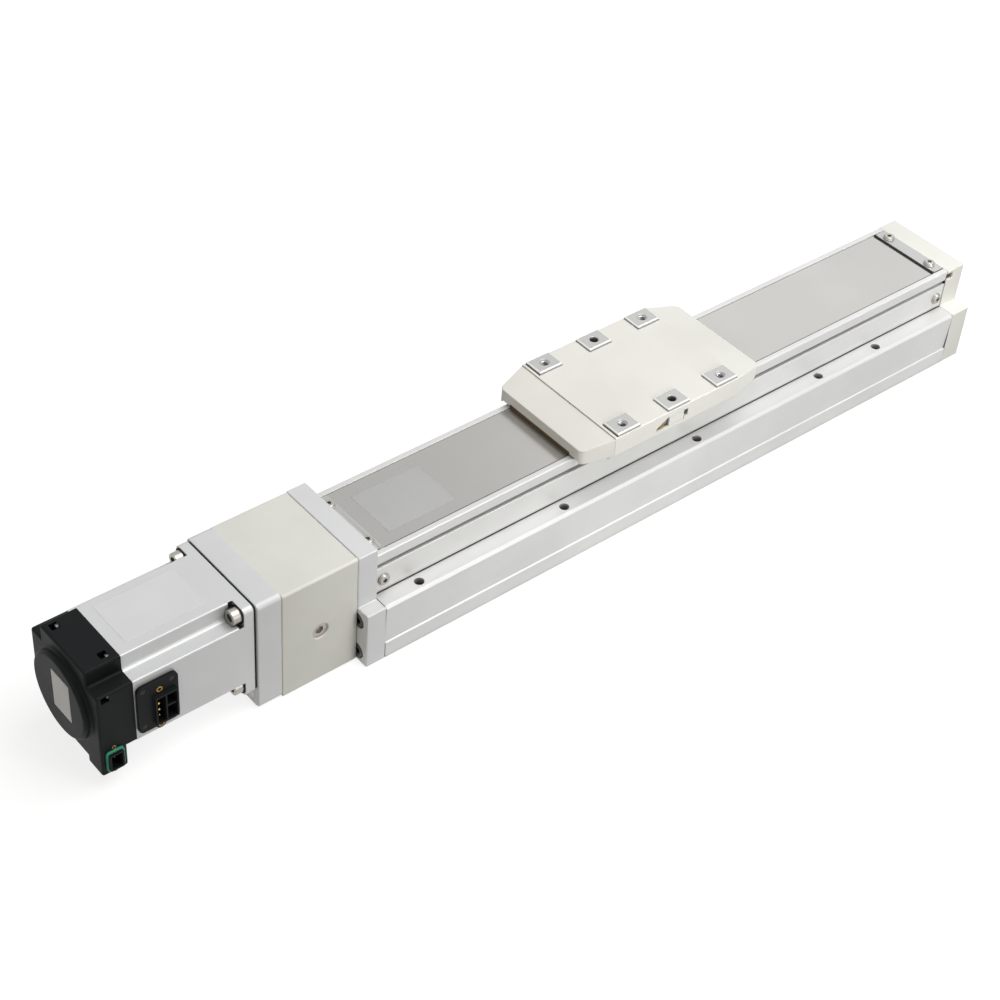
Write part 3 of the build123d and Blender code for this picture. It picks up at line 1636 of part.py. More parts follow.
nodes = {
    "base_profile": base_profile(),
    "side_panel_near": side_panel(-1),
    "side_panel_far": side_panel(1),
    "top_cover": top_cover(),
    "seal_strip": seal_strip(),
    "strip_clamp_front": strip_clamp(base_front, base_front + clamp_front_length, -1),
    "strip_clamp_rear": strip_clamp(base_rear - clamp_rear_length, base_rear, 0),
    "trim_screws": group(strip_screws() + panel_screws()),
    "front_plate": front_plate(),
    "end_cap": end_cap(),
    "end_screws": group(end_screw_set(front_plate_face, -1) + end_screw_set(end_cap_face, 1)),
    "coupling_housing": coupling_housing(),
    "access_plug": access_plug(),
    "motor_plate": motor_plate(),
    "housing_screws": housing_screws(),
    "bearing_retainer": bearing_retainer(),
    "retainer_screws": retainer_screws(),
    "bearing_outer_rings": group(outer_rings),
    "motor_flange": motor_flange(),
    "motor_bolts": motor_bolts(),
    "motor_body": motor_body(),
    "stator": stator(),
    "encoder_board": encoder_board(),
    "encoder_cover": encoder_cover(),
    "encoder_cover_screws": encoder_cover_screws(),
    "power_connector": power_connector(),
    "power_screws": power_screws(),
    "encoder_connector": encoder_connector(),
    "encoder_seal": encoder_seal(),
    "connector_pins": connector_pins(),
    "brass_inserts": brass_inserts(),
    "rail_near": rail(-1),
    "rail_far": rail(1),
    "rail_screws": rail_screws(),
    "bumper_front": bumpers(True),
    "bumper_rear": bumpers(False),
    "guide_blocks": guide_blocks(),
    "guide_studs": guide_studs(),
    "carriage_block": carriage_block(),
    "ball_nut": ball_nut(),
    "nut_screws": nut_screws(),
    "carriage_saddle": carriage_saddle(),
    "saddle_screws": saddle_screws(),
    "table_screws": table_screws(),
    "slider_table": slider_table(),
    "slider_cover": slider_cover(),
    "grease_door": grease_door(),
    "roller_brackets": group([roller_bracket(-1), roller_bracket(1)]),
    "strip_roller_front": strip_roller(-1),
    "strip_roller_rear": strip_roller(1),
    "screw_shaft": screw_shaft(),
    "bearing_inner_rings": group(inner_rings),
    "lock_nut": lock_nut(),
    "coupling_hub_screw": coupling_hub(screw_hub_near, screw_hub_near + hub_length,
                                       front_journal_radius, -1, 0.0),
    "coupling_hub_motor": coupling_hub(motor_hub_near - hub_length, motor_hub_near,
                                       motor_shaft_radius, 1, 180.0 / jaw_count),
    "coupling_spider": coupling_spider(),
    "hub_screws": hub_screws(),
    "rotor_shaft": rotor_shaft(),
    "rotor_magnet": rotor_magnet(),
    "encoder_disc": encoder_disc(),
}

os.makedirs("parts", exist_ok=True)
for name, shape in nodes.items():
    export_step(shape, f"parts/{name}.step")
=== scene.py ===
"""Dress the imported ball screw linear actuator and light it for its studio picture."""

import json
import logging
import math
from collections.abc import Callable, Iterator, Sequence
from contextlib import contextmanager
from dataclasses import dataclass
from enum import Enum
from typing import NamedTuple

import bmesh
import bpy
from mathutils import Matrix, Vector


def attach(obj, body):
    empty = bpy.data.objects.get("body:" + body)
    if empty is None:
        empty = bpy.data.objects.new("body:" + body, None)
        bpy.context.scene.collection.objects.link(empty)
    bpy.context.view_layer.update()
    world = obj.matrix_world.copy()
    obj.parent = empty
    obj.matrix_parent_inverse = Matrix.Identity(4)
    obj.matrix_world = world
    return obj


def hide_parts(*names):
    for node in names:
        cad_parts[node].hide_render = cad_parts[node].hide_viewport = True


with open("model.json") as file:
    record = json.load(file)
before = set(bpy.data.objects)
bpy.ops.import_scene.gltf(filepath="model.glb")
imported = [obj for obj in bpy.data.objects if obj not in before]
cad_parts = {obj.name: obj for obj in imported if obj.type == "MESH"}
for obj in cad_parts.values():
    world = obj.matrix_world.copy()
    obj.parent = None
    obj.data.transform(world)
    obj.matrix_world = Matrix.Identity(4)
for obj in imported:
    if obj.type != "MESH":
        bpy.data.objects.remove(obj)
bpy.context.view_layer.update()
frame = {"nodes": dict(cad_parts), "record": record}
LOG = logging.getLogger("actuator")
MM = 0.001
TOUCH = 0.01  # Points nearer than this, in millimetres, are in the same place
PAST = 1.0  # How far a cutting shape reaches past what it cuts, in millimetres
Colour = tuple[float, float, float]
Point = tuple[float, float, float]
Pair = tuple[float, float]
Corners = tuple[Point, Point]
Solid = bpy.types.Object
Tree = bpy.types.NodeTree
Socket = bpy.types.NodeSocket


# Finishes


class Pattern(Enum):
    """The fine relief that a finish carries, with the name of its node group."""

    DRAWN = "drawn_lines"
    BLASTED = "blasted_pits"
    PEEL = "paint_peel"
    SPARK = "spark_grain"
    LAMINATED = "core_plates"
    TRACES = "board_traces"


class Bench:
    """A node tree with short calls that add its nodes and join them."""

    def __init__(self, tree: Tree) -> None:
        """Take the tree to work on.

        Args:
            tree: The node tree that gets the nodes.
        """
        self.tree = tree

    def add(self, kind: str, inputs: dict | None = None, **settings: object) -> bpy.types.Node:
        """Add a node, set its options and fill its sockets.

        Args:
            kind: The node's type, without its ShaderNode prefix.
            inputs: Socket name or number to a value, or to a socket to join.
            **settings: The node's own options.

        Returns:
            The new node.
        """
        node = self.tree.nodes.new("ShaderNode" + kind)
        for key, value in settings.items():
            setattr(node, key, value)
        self.fill(node, inputs or {})
        return node

    def fill(self, node: bpy.types.Node, inputs: dict) -> None:
        """Fill a node's sockets with values or join them to other sockets.

        Args:
            node: The node.
            inputs: Socket name or number to a value, or to a socket to join.
        """
        for key, value in inputs.items():
            if isinstance(value, Socket):
                self.tree.links.new(value, node.inputs[key])
            else:
                node.inputs[key].default_value = value

    def sum(self, operation: str, *values: object, clamp: bool = False) -> Socket:
        """Add a Math node.

        Args:
            operation: The node's operation.
            *values: Numbers or sockets for its inputs.
            clamp: Whether the result is held between 0 and 1.

        Returns:
            The node's output socket.
        """
        node = self.add("Math", dict(enumerate(values)), operation=operation, use_clamp=clamp)
        return node.outputs[0]

    def blend(self, share: object, first: object, second: object) -> Socket:
        """Mix two colours.

        Args:
            share: How much of the second colour shows, as a number or a socket.
            first: The first colour or socket.
            second: The second colour or socket.

        Returns:
            The mixed colour's socket.
        """
        node = self.add("Mix", {0: share, 6: first, 7: second}, data_type="RGBA")
        return node.outputs[2]


class Effects:
    """The shader node groups that the finishes share, each built once."""

    edge_gain: float = 4.0
    drawn_stretch: Point = (0.012, 1.0, 1.0)

    def __init__(self) -> None:
        """Build every group."""
        self.edge = self._eased_edge()
        self.mottle = self._soft_mottle()
        self.crevice = self._crevice_shade()
        self.patterns = {pattern: self._relief(pattern) for pattern in Pattern}

    @staticmethod
    def _start(name: str, inputs: dict[str, str], outputs: dict[str, str]) -> tuple:
        """Make an empty shader node group with named sockets.

        Args:
            name: The group's name.
            inputs: Input name to socket kind.
            outputs: Output name to socket kind.

        Returns:
            The bench, the group's inputs and the node that takes its outputs.
        """
        tree = bpy.data.node_groups.new(name, "ShaderNodeTree")
        for way, sockets in (("INPUT", inputs), ("OUTPUT", outputs)):
            for label, kind in sockets.items():
                tree.interface.new_socket(label, in_out=way, socket_type="NodeSocket" + kind)
        start = tree.nodes.new("NodeGroupInput")
        end = tree.nodes.new("NodeGroupOutput")
        return Bench(tree), start.outputs, end

    def _eased_edge(self) -> Tree:
        """Build the group that rounds sharp edges and masks them for the painted edge highlight.

        Returns:
            The group.
        """
        bench, given, end = self._start(
            "eased_edge", {"Radius": "Float"}, {"Normal": "Vector", "Mask": "Float"})
        eased = bench.add("Bevel", {"Radius": given["Radius"]}, samples=4).outputs["Normal"]
        flat = bench.add("NewGeometry").outputs["Normal"]
        match = bench.add("VectorMath", {0: eased, 1: flat}, operation="DOT_PRODUCT")
        lack = bench.sum("SUBTRACT", 1.0, match.outputs["Value"])
        mask = bench.sum("MULTIPLY", lack, self.edge_gain, clamp=True)
        bench.fill(end, {"Normal": eased, "Mask": mask})
        return bench.tree

    def _soft_mottle(self) -> Tree:
        """Build the group for the slow changes across a real surface.

        Returns:
            The group.
        """
        bench, given, end = self._start(
            "soft_mottle", {"Place": "Vector", "Scale": "Float"}, {"Value": "Float"})
        slow = bench.add("TexNoise", {"Vector": given["Place"], "Scale": given["Scale"],
                                      "Detail": 3.0, "Roughness": 0.55})
        smooth = bench.add("MapRange", {"Value": slow.outputs[0], "From Min": 0.3,
                                        "From Max": 0.7}, interpolation_type="SMOOTHSTEP")
        bench.fill(end, {"Value": smooth.outputs[0]})
        return bench.tree

    def _crevice_shade(self) -> Tree:
        """Build the group that finds holes, joints and deep corners, where the painted shade
        goes.

        Returns:
            The group.
        """
        bench, given, end = self._start(
            "crevice_shade", {"Reach": "Float"}, {"Value": "Float"})
        sky = bench.add("AmbientOcclusion", {"Distance": given["Reach"]}, samples=5)
        shut = bench.add("MapRange", {"Value": sky.outputs["AO"], "From Min": 0.55,
                                      "From Max": 0.12}, interpolation_type="SMOOTHSTEP")
        bench.fill(end, {"Value": shut.outputs[0]})
        return bench.tree

    def _relief(self, pattern: Pattern) -> Tree:
        """Build the group of one fine relief.

        Args:
            pattern: The relief.

        Returns:
            The group, which takes a place and a scale and gives a height.
        """
        bench, given, end = self._start(
            pattern.value, {"Place": "Vector", "Scale": "Float"}, {"Height": "Float"})
        place = given["Place"]
        if pattern is Pattern.DRAWN:
            place = bench.add("VectorMath", {0: place, 1: self.drawn_stretch},
                              operation="MULTIPLY").outputs[0]

        def read(kind: str, output: str | int, inputs: dict[str, float],
                 **options: object) -> Socket:
            """Add a texture at the group's place and scale, and return an output."""
            sockets = {"Vector": place, "Scale": given["Scale"], **inputs}
            return bench.add(kind, sockets, **options).outputs[output]

        match pattern:
            case Pattern.DRAWN:
                height = read("TexNoise", 0, {"Detail": 4.0, "Roughness": 0.7})
            case Pattern.BLASTED:
                pits = read("TexVoronoi", "Distance", {})
                haze = read("TexNoise", 0, {"Detail": 2.0})
                height = bench.sum("MULTIPLY", bench.sum("ADD", pits, haze), 0.5)
            case Pattern.PEEL:
                height = read("TexNoise", 0, {"Detail": 1.0, "Roughness": 0.4})
            case Pattern.SPARK:
                grain = read("TexNoise", 0, {"Detail": 3.0, "Roughness": 0.6})
                cells = read("TexVoronoi", "Distance", {}, feature="SMOOTH_F1")
                height = bench.sum("MULTIPLY", grain, cells)
            case Pattern.LAMINATED:
                height = read("TexWave", "Fac", {"Distortion": 0.3, "Detail": 1.0},
                              bands_direction="X")
            case Pattern.TRACES:
                height = read("TexBrick", "Fac", {"Mortar Size": 0.03}, offset=0.35)
        bench.fill(end, {"Height": height})
        return bench.tree


@dataclass(frozen=True)
class Finish:
    """A procedural finish: colour with slow changes, fine relief, eased edges, a painted edge
    highlight and painted crevice shade.
    """

    slot: str
    name: str
    colour: Colour
    pattern: Pattern
    shade: Colour | None = None
    metallic: float = 0.0
    roughness: float = 0.45
    roughness_spread: float = 0.08
    mottle_scale: float = 18.0
    pattern_scale: float = 2500.0
    pattern_depth: float = 0.02
    pattern_tint: float = 0.0
    edge_radius: float = 0.35
    # Painted highlight: how much the sharp edges are lightened
    edge_highlight: float = 0.25
    coat: float = 0.0
    specular: float = 0.5
    # Painted shade: how far, how strongly and in what colour holes, joints and corners are
    # darkened
    crevice_reach: float = 4.0
    crevice_shade_strength: float = 0.85
    crevice_shade_colour: Colour | None = None
    key: str = ""
    patch_share: float = 0.93
    relief_share: float = 0.6
    # How far the painted edge highlight goes towards white
    highlight_share: float = 0.5
    # Share of the colour left in the painted crevice shade
    crevice_shade_share: float = 0.06
    bump_strength: float = 0.6
    coat_roughness: float = 0.2

    def _times(self, share: float) -> Colour:
        """Return the colour times a share."""
        return tuple(part * share for part in self.colour)

    def build(self, effects: Effects) -> bpy.types.Material:
        """Make the material.

        Args:
            effects: The shared node groups.

        Returns:
            The finished material.
        """
        material = bpy.data.materials.new(self.name)
        material.use_nodes = True
        bench = Bench(material.node_tree)
        shader = material.node_tree.nodes["Principled BSDF"]
        place = bench.add("TexCoord").outputs["Object"]
        mottle = bench.add("Group", {"Place": place, "Scale": self.mottle_scale},
                           node_tree=effects.mottle).outputs["Value"]
        relief = bench.add("Group", {"Place": place, "Scale": self.pattern_scale},
                           node_tree=effects.patterns[self.pattern]).outputs["Height"]
        edge = bench.add("Group", {"Radius": self.edge_radius * MM},
                         node_tree=effects.edge).outputs
        crevice = bench.add("Group", {"Reach": self.crevice_reach * MM},
                            node_tree=effects.crevice).outputs["Value"]
        deep = self.shade or self._times(self.patch_share)
        tone = bench.blend(mottle, (*self.colour, 1.0), (*deep, 1.0))
        if self.pattern_tint:
            share = bench.sum("MULTIPLY", relief, self.pattern_tint, clamp=True)
            tone = bench.blend(share, tone, (*self._times(self.relief_share), 1.0))
        # Painted highlight: the colour is lightened along sharp edges where the edge mask is set
        light = tuple(part + (1.0 - part) * self.highlight_share for part in self.colour)
        share = bench.sum("MULTIPLY", edge["Mask"], self.edge_highlight)
        tone = bench.blend(share, tone, (*light, 1.0))
        # Painted shade: the colour is darkened where ambient occlusion finds holes, joints and
        # corners
        share = bench.sum("MULTIPLY", crevice, self.crevice_shade_strength)
        painted_shade_tone = self.crevice_shade_colour or self._times(self.crevice_shade_share)
        tone = bench.blend(share, tone, (*painted_shade_tone, 1.0))
        spread_out = bench.sum("MULTIPLY", mottle, self.roughness_spread)
        dull = bench.sum("ADD", spread_out, self.roughness, clamp=True)
        bump = bench.add("Bump", {"Strength": self.bump_strength, "Height": relief,
                                  "Distance": self.pattern_depth * MM,
                                  "Normal": edge["Normal"]})
        bench.fill(shader, {
            "Base Color": tone, "Roughness": dull, "Normal": bump.outputs["Normal"],
            "Metallic": self.metallic, "Specular IOR Level": self.specular,
            "Coat Weight": self.coat, "Coat Roughness": self.coat_roughness})
        return material


class Look(NamedTuple):
    """A built material and the record's slot that it belongs to."""

    material: bpy.types.Material
    slot: str


# Each finish's crevice values set its painted shade, and its edge values set its painted edge
# highlight
FINISHES = (
    Finish("body_aluminium", "anodised_extrusion", (0.73, 0.73, 0.72), Pattern.DRAWN,
           metallic=0.3, roughness=0.4, pattern_scale=1500.0, pattern_tint=0.10,
           edge_radius=0.3, crevice_reach=8.0),
    Finish("panel_aluminium", "anodised_panel", (0.79, 0.79, 0.775), Pattern.DRAWN,
           metallic=0.3, roughness=0.42, pattern_scale=1800.0, pattern_tint=0.08,
           edge_radius=0.2, crevice_shade_strength=0.2),
    Finish("strip_steel", "rolled_strip", (0.46, 0.45, 0.43), Pattern.DRAWN, metallic=0.75,
           roughness=0.21, roughness_spread=0.04, pattern_scale=1200.0, pattern_tint=0.12,
           mottle_scale=9.0, edge_radius=0.1, crevice_shade_strength=0.15),
    Finish("clamp_steel", "brushed_clamp", (0.48, 0.48, 0.47), Pattern.DRAWN, metallic=0.6,
           roughness=0.36, pattern_scale=2500.0, pattern_tint=0.15, edge_radius=0.15),
    Finish("screw_steel", "bright_zinc", (0.43, 0.41, 0.375), Pattern.BLASTED, metallic=0.8,
           roughness=0.28, pattern_scale=4000.0, pattern_depth=0.008, edge_radius=0.25,
           edge_highlight=0.6),
    Finish("black_screw", "black_oxide", (0.10, 0.10, 0.11), Pattern.BLASTED, metallic=0.9,
           roughness=0.38, pattern_scale=4000.0, pattern_depth=0.008, edge_radius=0.15),
    Finish("plate_aluminium", "blasted_plate", (0.70, 0.71, 0.71), Pattern.BLASTED,
           metallic=0.25, roughness=0.5, pattern_scale=3500.0, pattern_depth=0.01,
           edge_radius=0.4),
    Finish("cream_paint", "cream_coat", (0.825, 0.82, 0.76), Pattern.PEEL, roughness=0.42,
           pattern_scale=900.0, pattern_depth=0.012, edge_radius=0.5, edge_highlight=0.15,
           crevice_shade_strength=0.5, crevice_shade_colour=(0.16, 0.14, 0.09)),
    Finish("bearing_steel", "ground_steel", (0.55, 0.55, 0.54), Pattern.DRAWN, metallic=1.0,
           roughness=0.24, pattern_scale=3000.0),
    Finish("motor_aluminium", "motor_case", (0.70, 0.71, 0.71), Pattern.BLASTED, metallic=0.3,
           roughness=0.36, pattern_scale=3000.0, pattern_depth=0.008, edge_radius=0.4,
           coat=0.1),
    Finish("core_steel", "stacked_core", (0.20, 0.13, 0.09), Pattern.LAMINATED, metallic=0.6,
           roughness=0.5, pattern_scale=600.0),
    Finish("board_green", "lacquered_board", (0.02, 0.16, 0.06), Pattern.TRACES, roughness=0.3,
           pattern_scale=220.0, coat=0.5),
    Finish("black_moulding", "black_grain", (0.006, 0.007, 0.0075), Pattern.SPARK,
           shade=(0.009, 0.010, 0.0105), roughness=0.45, pattern_scale=2600.0,
           pattern_depth=0.02, edge_highlight=0.05, specular=0.1),
    Finish("seal_green", "green_rubber", (0.05, 0.40, 0.24), Pattern.PEEL, roughness=0.5,
           pattern_scale=1500.0),
    Finish("contact_gold", "gold_plate", (0.80, 0.52, 0.16), Pattern.BLASTED, metallic=1.0,
           roughness=0.2, pattern_scale=5000.0, pattern_depth=0.004, crevice_shade_strength=0.2),
    Finish("insert_brass", "turned_brass", (0.36, 0.21, 0.06), Pattern.DRAWN, metallic=1.0,
           roughness=0.28, pattern_scale=4000.0, crevice_shade_strength=0.5),
    Finish("bumper_rubber", "black_rubber", (0.014, 0.014, 0.014), Pattern.SPARK,
           roughness=0.7, pattern_scale=1800.0, specular=0.2),
    Finish("saddle_steel", "formed_steel", (0.34, 0.34, 0.335), Pattern.DRAWN, metallic=0.8,
           roughness=0.4, pattern_scale=2200.0),
    Finish("pad_aluminium", "milled_pad", (0.52, 0.52, 0.51), Pattern.DRAWN, metallic=0.4,
           roughness=0.38, pattern_scale=2600.0, pattern_tint=0.1, edge_radius=0.15,
           edge_highlight=0.5, crevice_reach=9.0),
    Finish("slider_cream", "cream_moulding", (0.835, 0.825, 0.77), Pattern.SPARK,
           roughness=0.46, pattern_scale=2400.0, pattern_depth=0.012, edge_radius=0.4,
           edge_highlight=0.12, crevice_shade_strength=0.55, crevice_shade_colour=(0.13, 0.12, 0.07)),
    Finish("roller_plastic", "white_acetal", (0.74, 0.73, 0.68), Pattern.PEEL, roughness=0.4,
           pattern_scale=1200.0),
    Finish("spider_rubber", "red_polyurethane", (0.42, 0.03, 0.02), Pattern.PEEL,
           roughness=0.45, pattern_scale=1000.0),
    Finish("magnet_grey", "coated_magnet", (0.09, 0.09, 0.095), Pattern.BLASTED, metallic=0.6,
           roughness=0.35),
    Finish("disc_steel", "code_disc", (0.6, 0.6, 0.62), Pattern.DRAWN, metallic=1.0,
           roughness=0.12, pattern_scale=5000.0),
    # Finishes of added pieces or of a node apart from its slot
    Finish("bumper_rubber", "brown_felt", (0.15, 0.10, 0.055), Pattern.SPARK, roughness=0.85,
           pattern_scale=1400.0, pattern_depth=0.05, key="wiper_felt"),
    Finish("strip_steel", "clear_film", (0.50, 0.50, 0.49), Pattern.PEEL, roughness=0.3,
           pattern_scale=700.0, pattern_depth=0.004, key="strip_film"),
    Finish("motor_aluminium", "silver_film", (0.76, 0.765, 0.77), Pattern.PEEL, metallic=0.2,
           roughness=0.34, pattern_scale=700.0, pattern_depth=0.004, key="case_film"),
    Finish("screw_steel", "wound_insert", (0.74, 0.74, 0.72), Pattern.DRAWN, metallic=0.9,
           roughness=0.16, pattern_scale=4000.0, crevice_reach=7.0, crevice_shade_strength=0.97,
           key="thread_steel"),
    Finish("black_screw", "dull_black_screw", (0.022, 0.022, 0.024), Pattern.BLASTED,
           metallic=0.4, roughness=0.4, pattern_scale=4000.0, pattern_depth=0.008,
           edge_radius=0.15, specular=0.3, key="dull_screw"),
    # A pale copy of the pad aluminium: painted highlight on the pads' bevels
    Finish("pad_aluminium", "bright_bevel", (0.88, 0.88, 0.87), Pattern.DRAWN, metallic=0.8,
           roughness=0.3, pattern_scale=2600.0, crevice_shade_strength=0.1, key="pad_bevel"),
    Finish("black_moulding", "pale_film", (0.84, 0.835, 0.82), Pattern.PEEL, roughness=0.4,
           pattern_scale=700.0, pattern_depth=0.004, key="boss_film"),
)

# CAD nodes that wear a finish of their own
NODE_FINISHES = {"power_screws": "dull_screw"}


# Studio


@dataclass(frozen=True)
class SoftBox:
    """A square soft light and where it points."""

    name: str
    place: Point
    aim: Point
    size: float
    power: float
    spread: float = 180.0
    colour: Colour = (1.0, 1.0, 1.0)

    def build(self) -> None:
        """Hang the light."""
        data = bpy.data.lights.new(self.name, "AREA")
        data.energy = self.power
        data.size = self.size
        data.color = self.colour
        data.spread = math.radians(self.spread)
        light = bpy.data.objects.new(self.name, data)
        light.location = self.place
        way = Vector(self.aim) - Vector(self.place)
        light.rotation_euler = way.to_track_quat("-Z", "Y").to_euler()
        light.visible_camera = False
        bpy.context.scene.collection.objects.link(light)


@dataclass(frozen=True)
class Studio:
    """White floor, soft light and the camera at the photograph's angle."""

    azimuth: float = -42.7436
    elevation: float = 41.5023
    roll: float = 4.8428
    camera_place: Point = (-0.69277, -0.62964, 0.78356)
    lens: float = 74.516
    floor_height: float = -0.0002
    floor_half: float = 6.0
    floor_tone: float = 0.32
    floor_roughness: float = 0.9
    ambient: float = 0.18
    floor_glow: float = 0.8
    lights: tuple[SoftBox, ...] = (
        SoftBox("overhead", (0.45, -0.45, 1.75), (0.05, 0.0, 0.0), 1.5, 27.3),
        SoftBox("near_side", (-0.03, -0.5, 0.2), (-0.02, 0.0, 0.04), 0.25, 0.25, 80.0),
        SoftBox("cap_spot", (0.3, -0.36, 0.36), (0.226, -0.01, 0.05), 0.06, 0.015, 30.0),
        SoftBox("strip_glow", (1.2, 0.73, 0.89), (0.1, 0.0, 0.06), 0.8, 1.2),
        SoftBox("left_fill", (-1.8, -0.9, 0.9), (-0.15, 0.0, 0.03), 1.4, 3.2, 180.0,
                (1.0, 0.84, 0.54)),
    )

    def build(self) -> None:
        """Set the whole studio up."""
        scene = bpy.context.scene
        scene.view_settings.view_transform = "Standard"
        self._world()
        self._floor()
        for light in self.lights:
            light.build()
        self._camera()

    @staticmethod
    def _seen_directly(bench: Bench) -> Socket:
        """Pick out the rays that show the background itself.

        Args:
            bench: The tree that gets the nodes.

        Returns:
            A socket that is 1 for those rays.
        """
        path = bench.add("LightPath")
        seen = bench.sum("ADD", path.outputs["Is Camera Ray"], path.outputs["Is Glossy Ray"])
        return bench.sum("ADD", seen, path.outputs["Is Transmission Ray"], clamp=True)

    def _world(self) -> None:
        """Make the white surroundings."""
        world = bpy.data.worlds.new("surroundings")
        world.use_nodes = True
        bpy.context.scene.world = world
        bench = Bench(world.node_tree)
        rest = bench.sum("MULTIPLY", self._seen_directly(bench), 1.0 - self.ambient)
        bench.fill(world.node_tree.nodes["Background"], {
            "Color": (1.0, 1.0, 1.0, 1.0), "Strength": bench.sum("ADD", rest, self.ambient)})

    def _floor(self) -> None:
        """Lay the pale floor, which keeps the object's shadow."""
        deselect()
        bpy.ops.mesh.primitive_plane_add(size=2 * self.floor_half,
                                         location=(0.0, 0.0, self.floor_height))
        floor = bpy.context.object
        floor.name = "studio_floor"
        material = bpy.data.materials.new("pale_floor")
        material.use_nodes = True
        bench = Bench(material.node_tree)
        glow = bench.sum("MULTIPLY", self._seen_directly(bench), self.floor_glow)
        bench.fill(material.node_tree.nodes["Principled BSDF"], {
            "Base Color": (*(self.floor_tone,) * 3, 1.0), "Roughness": self.floor_roughness,
            "Specular IOR Level": 0.0, "Emission Color": (1.0, 1.0, 1.0, 1.0),
            "Emission Strength": glow})
        floor.data.materials.append(material)

    def _camera(self) -> None:
        """Place the camera, turned as the photograph's was."""
        data = bpy.data.cameras.new("photo_camera")
        data.lens = self.lens
        data.sensor_width = 36.0
        data.clip_start = 0.01
        data.clip_end = 50.0
        azimuth, elevation = math.radians(self.azimuth), math.radians(self.elevation)
        back = Vector((math.sin(azimuth) * math.cos(elevation),
                       -math.cos(azimuth) * math.cos(elevation), math.sin(elevation)))
        right = Vector((0.0, 0.0, 1.0)).cross(back).normalized()
        up = back.cross(right)
        turn = math.radians(self.roll)
        right, up = (right * math.cos(turn) + up * math.sin(turn),
                     up * math.cos(turn) - right * math.sin(turn))
        camera = bpy.data.objects.new("photo_camera", data)
        camera.matrix_world = Matrix.Translation(self.camera_place) @ Matrix(
            (right, up, back)).transposed().to_4x4()
        bpy.context.scene.collection.objects.link(camera)
        bpy.context.scene.camera = camera


# Modelling


class Part(Enum):
    """The kind of mesh element that is picked or edited."""

    VERT = "verts"
    EDGE = "edges"
    FACE = "faces"


def deselect() -> None:
    """Leave nothing selected."""
    bpy.ops.object.select_all(action="DESELECT")


def take(obj: Solid) -> None:
    """Make one object the only selected and active one.

    Args:
        obj: The object.
    """
    deselect()
    obj.select_set(True)
    bpy.context.view_layer.objects.active = obj


@contextmanager
def editing(obj: Solid, part: Part = Part.FACE) -> Iterator[None]:
    """Open an object in edit mode with nothing selected.

    Args:
        obj: The object to edit.
        part: What the select mode works on.

    Yields:
        Nothing; the object is back in object mode afterwards.
    """
    take(obj)
    bpy.ops.object.mode_set(mode="EDIT")
    bpy.ops.mesh.select_mode(type=part.name)
    bpy.ops.mesh.select_all(action="DESELECT")
    yield
    bpy.ops.object.mode_set(mode="OBJECT")


def pick(obj: Solid, part: Part, test: Callable) -> int:
    """Select the elements of the edited mesh that pass a test.

    Args:
        obj: The object in edit mode.
        part: Which elements are looked at.
        test: Takes an element and says whether it is wanted.

    Returns:
        How many elements were selected.
    """
    mesh = bmesh.from_edit_mesh(obj.data)
    found = [element for element in getattr(mesh, part.value) if test(element)]
    for element in found:
        element.select_set(True)
    bmesh.update_edit_mesh(obj.data)
    return len(found)


def middle(edge: bmesh.types.BMEdge) -> Vector:
    """Return the middle of an edge in millimetres."""
    return (edge.verts[0].co + edge.verts[1].co) / (2 * MM)


def runs_along(edge: bmesh.types.BMEdge, axis: int) -> bool:
    """Return whether an edge runs along one axis."""
    way = (edge.verts[1].co - edge.verts[0].co).normalized()
    return abs(way[axis]) > 0.999


def bevel_where(obj: Solid, test: Callable, width: float, segments: int) -> None:
    """Bevel the edges that pass a test.

    Args:
        obj: The object.
        test: Takes an edge and says whether it is bevelled.
        width: How far the bevel reaches, in millimetres.
        segments: How many steps it has.
    """
    with editing(obj, Part.EDGE):
        pick(obj, Part.EDGE, test)
        bpy.ops.mesh.bevel(offset=width * MM, segments=segments, affect="EDGES")


def move_where(obj: Solid, test: Callable, way: Point) -> None:
    """Move the corners that pass a test.

    Args:
        obj: The object.
        test: Takes a corner and says whether it moves.
        way: How far it moves, in millimetres.
    """
    with editing(obj, Part.VERT):
        pick(obj, Part.VERT, test)
        bpy.ops.transform.translate(value=[part * MM for part in way])


def block(low: Point, high: Point) -> Solid:
    """Add a box between two corners in millimetres.

    Args:
        low: The lowest corner.
        high: The highest corner.

    Returns:
        The box, with its place in its mesh.
    """
    deselect()
    centre = [(a + b) / 2 * MM for a, b in zip(low, high, strict=True)]
    bpy.ops.mesh.primitive_cube_add(size=1.0, location=centre)
    box = bpy.context.object
    box.scale = [(b - a) * MM for a, b in zip(low, high, strict=True)]
    bpy.ops.object.transform_apply(location=True, rotation=True, scale=True)
    return box


def both_sides(low: Point, high: Point) -> list[Solid]:
    """Add a box on the far side and its mirror image on the near side.

    Args:
        low: The far box's lowest corner, in millimetres.
        high: The far box's highest corner.

    Returns:
        The near box and the far one.
    """
    return [block((low[0], -high[1], low[2]), (high[0], -low[1], high[2])), block(low, high)]


def rounded(low: Point, high: Point, axis: int, radius: float) -> Solid:
    """Add a box whose edges along one axis are rounded.

    Args:
        low: The lowest corner, in millimetres.
        high: The highest corner, in millimetres.
        axis: The axis that the rounded edges run along.
        radius: How far the rounding reaches, in millimetres.

    Returns:
        The box.
    """
    box = block(low, high)
    bevel_where(box, lambda e: runs_along(e, axis), radius, 5)
    return box


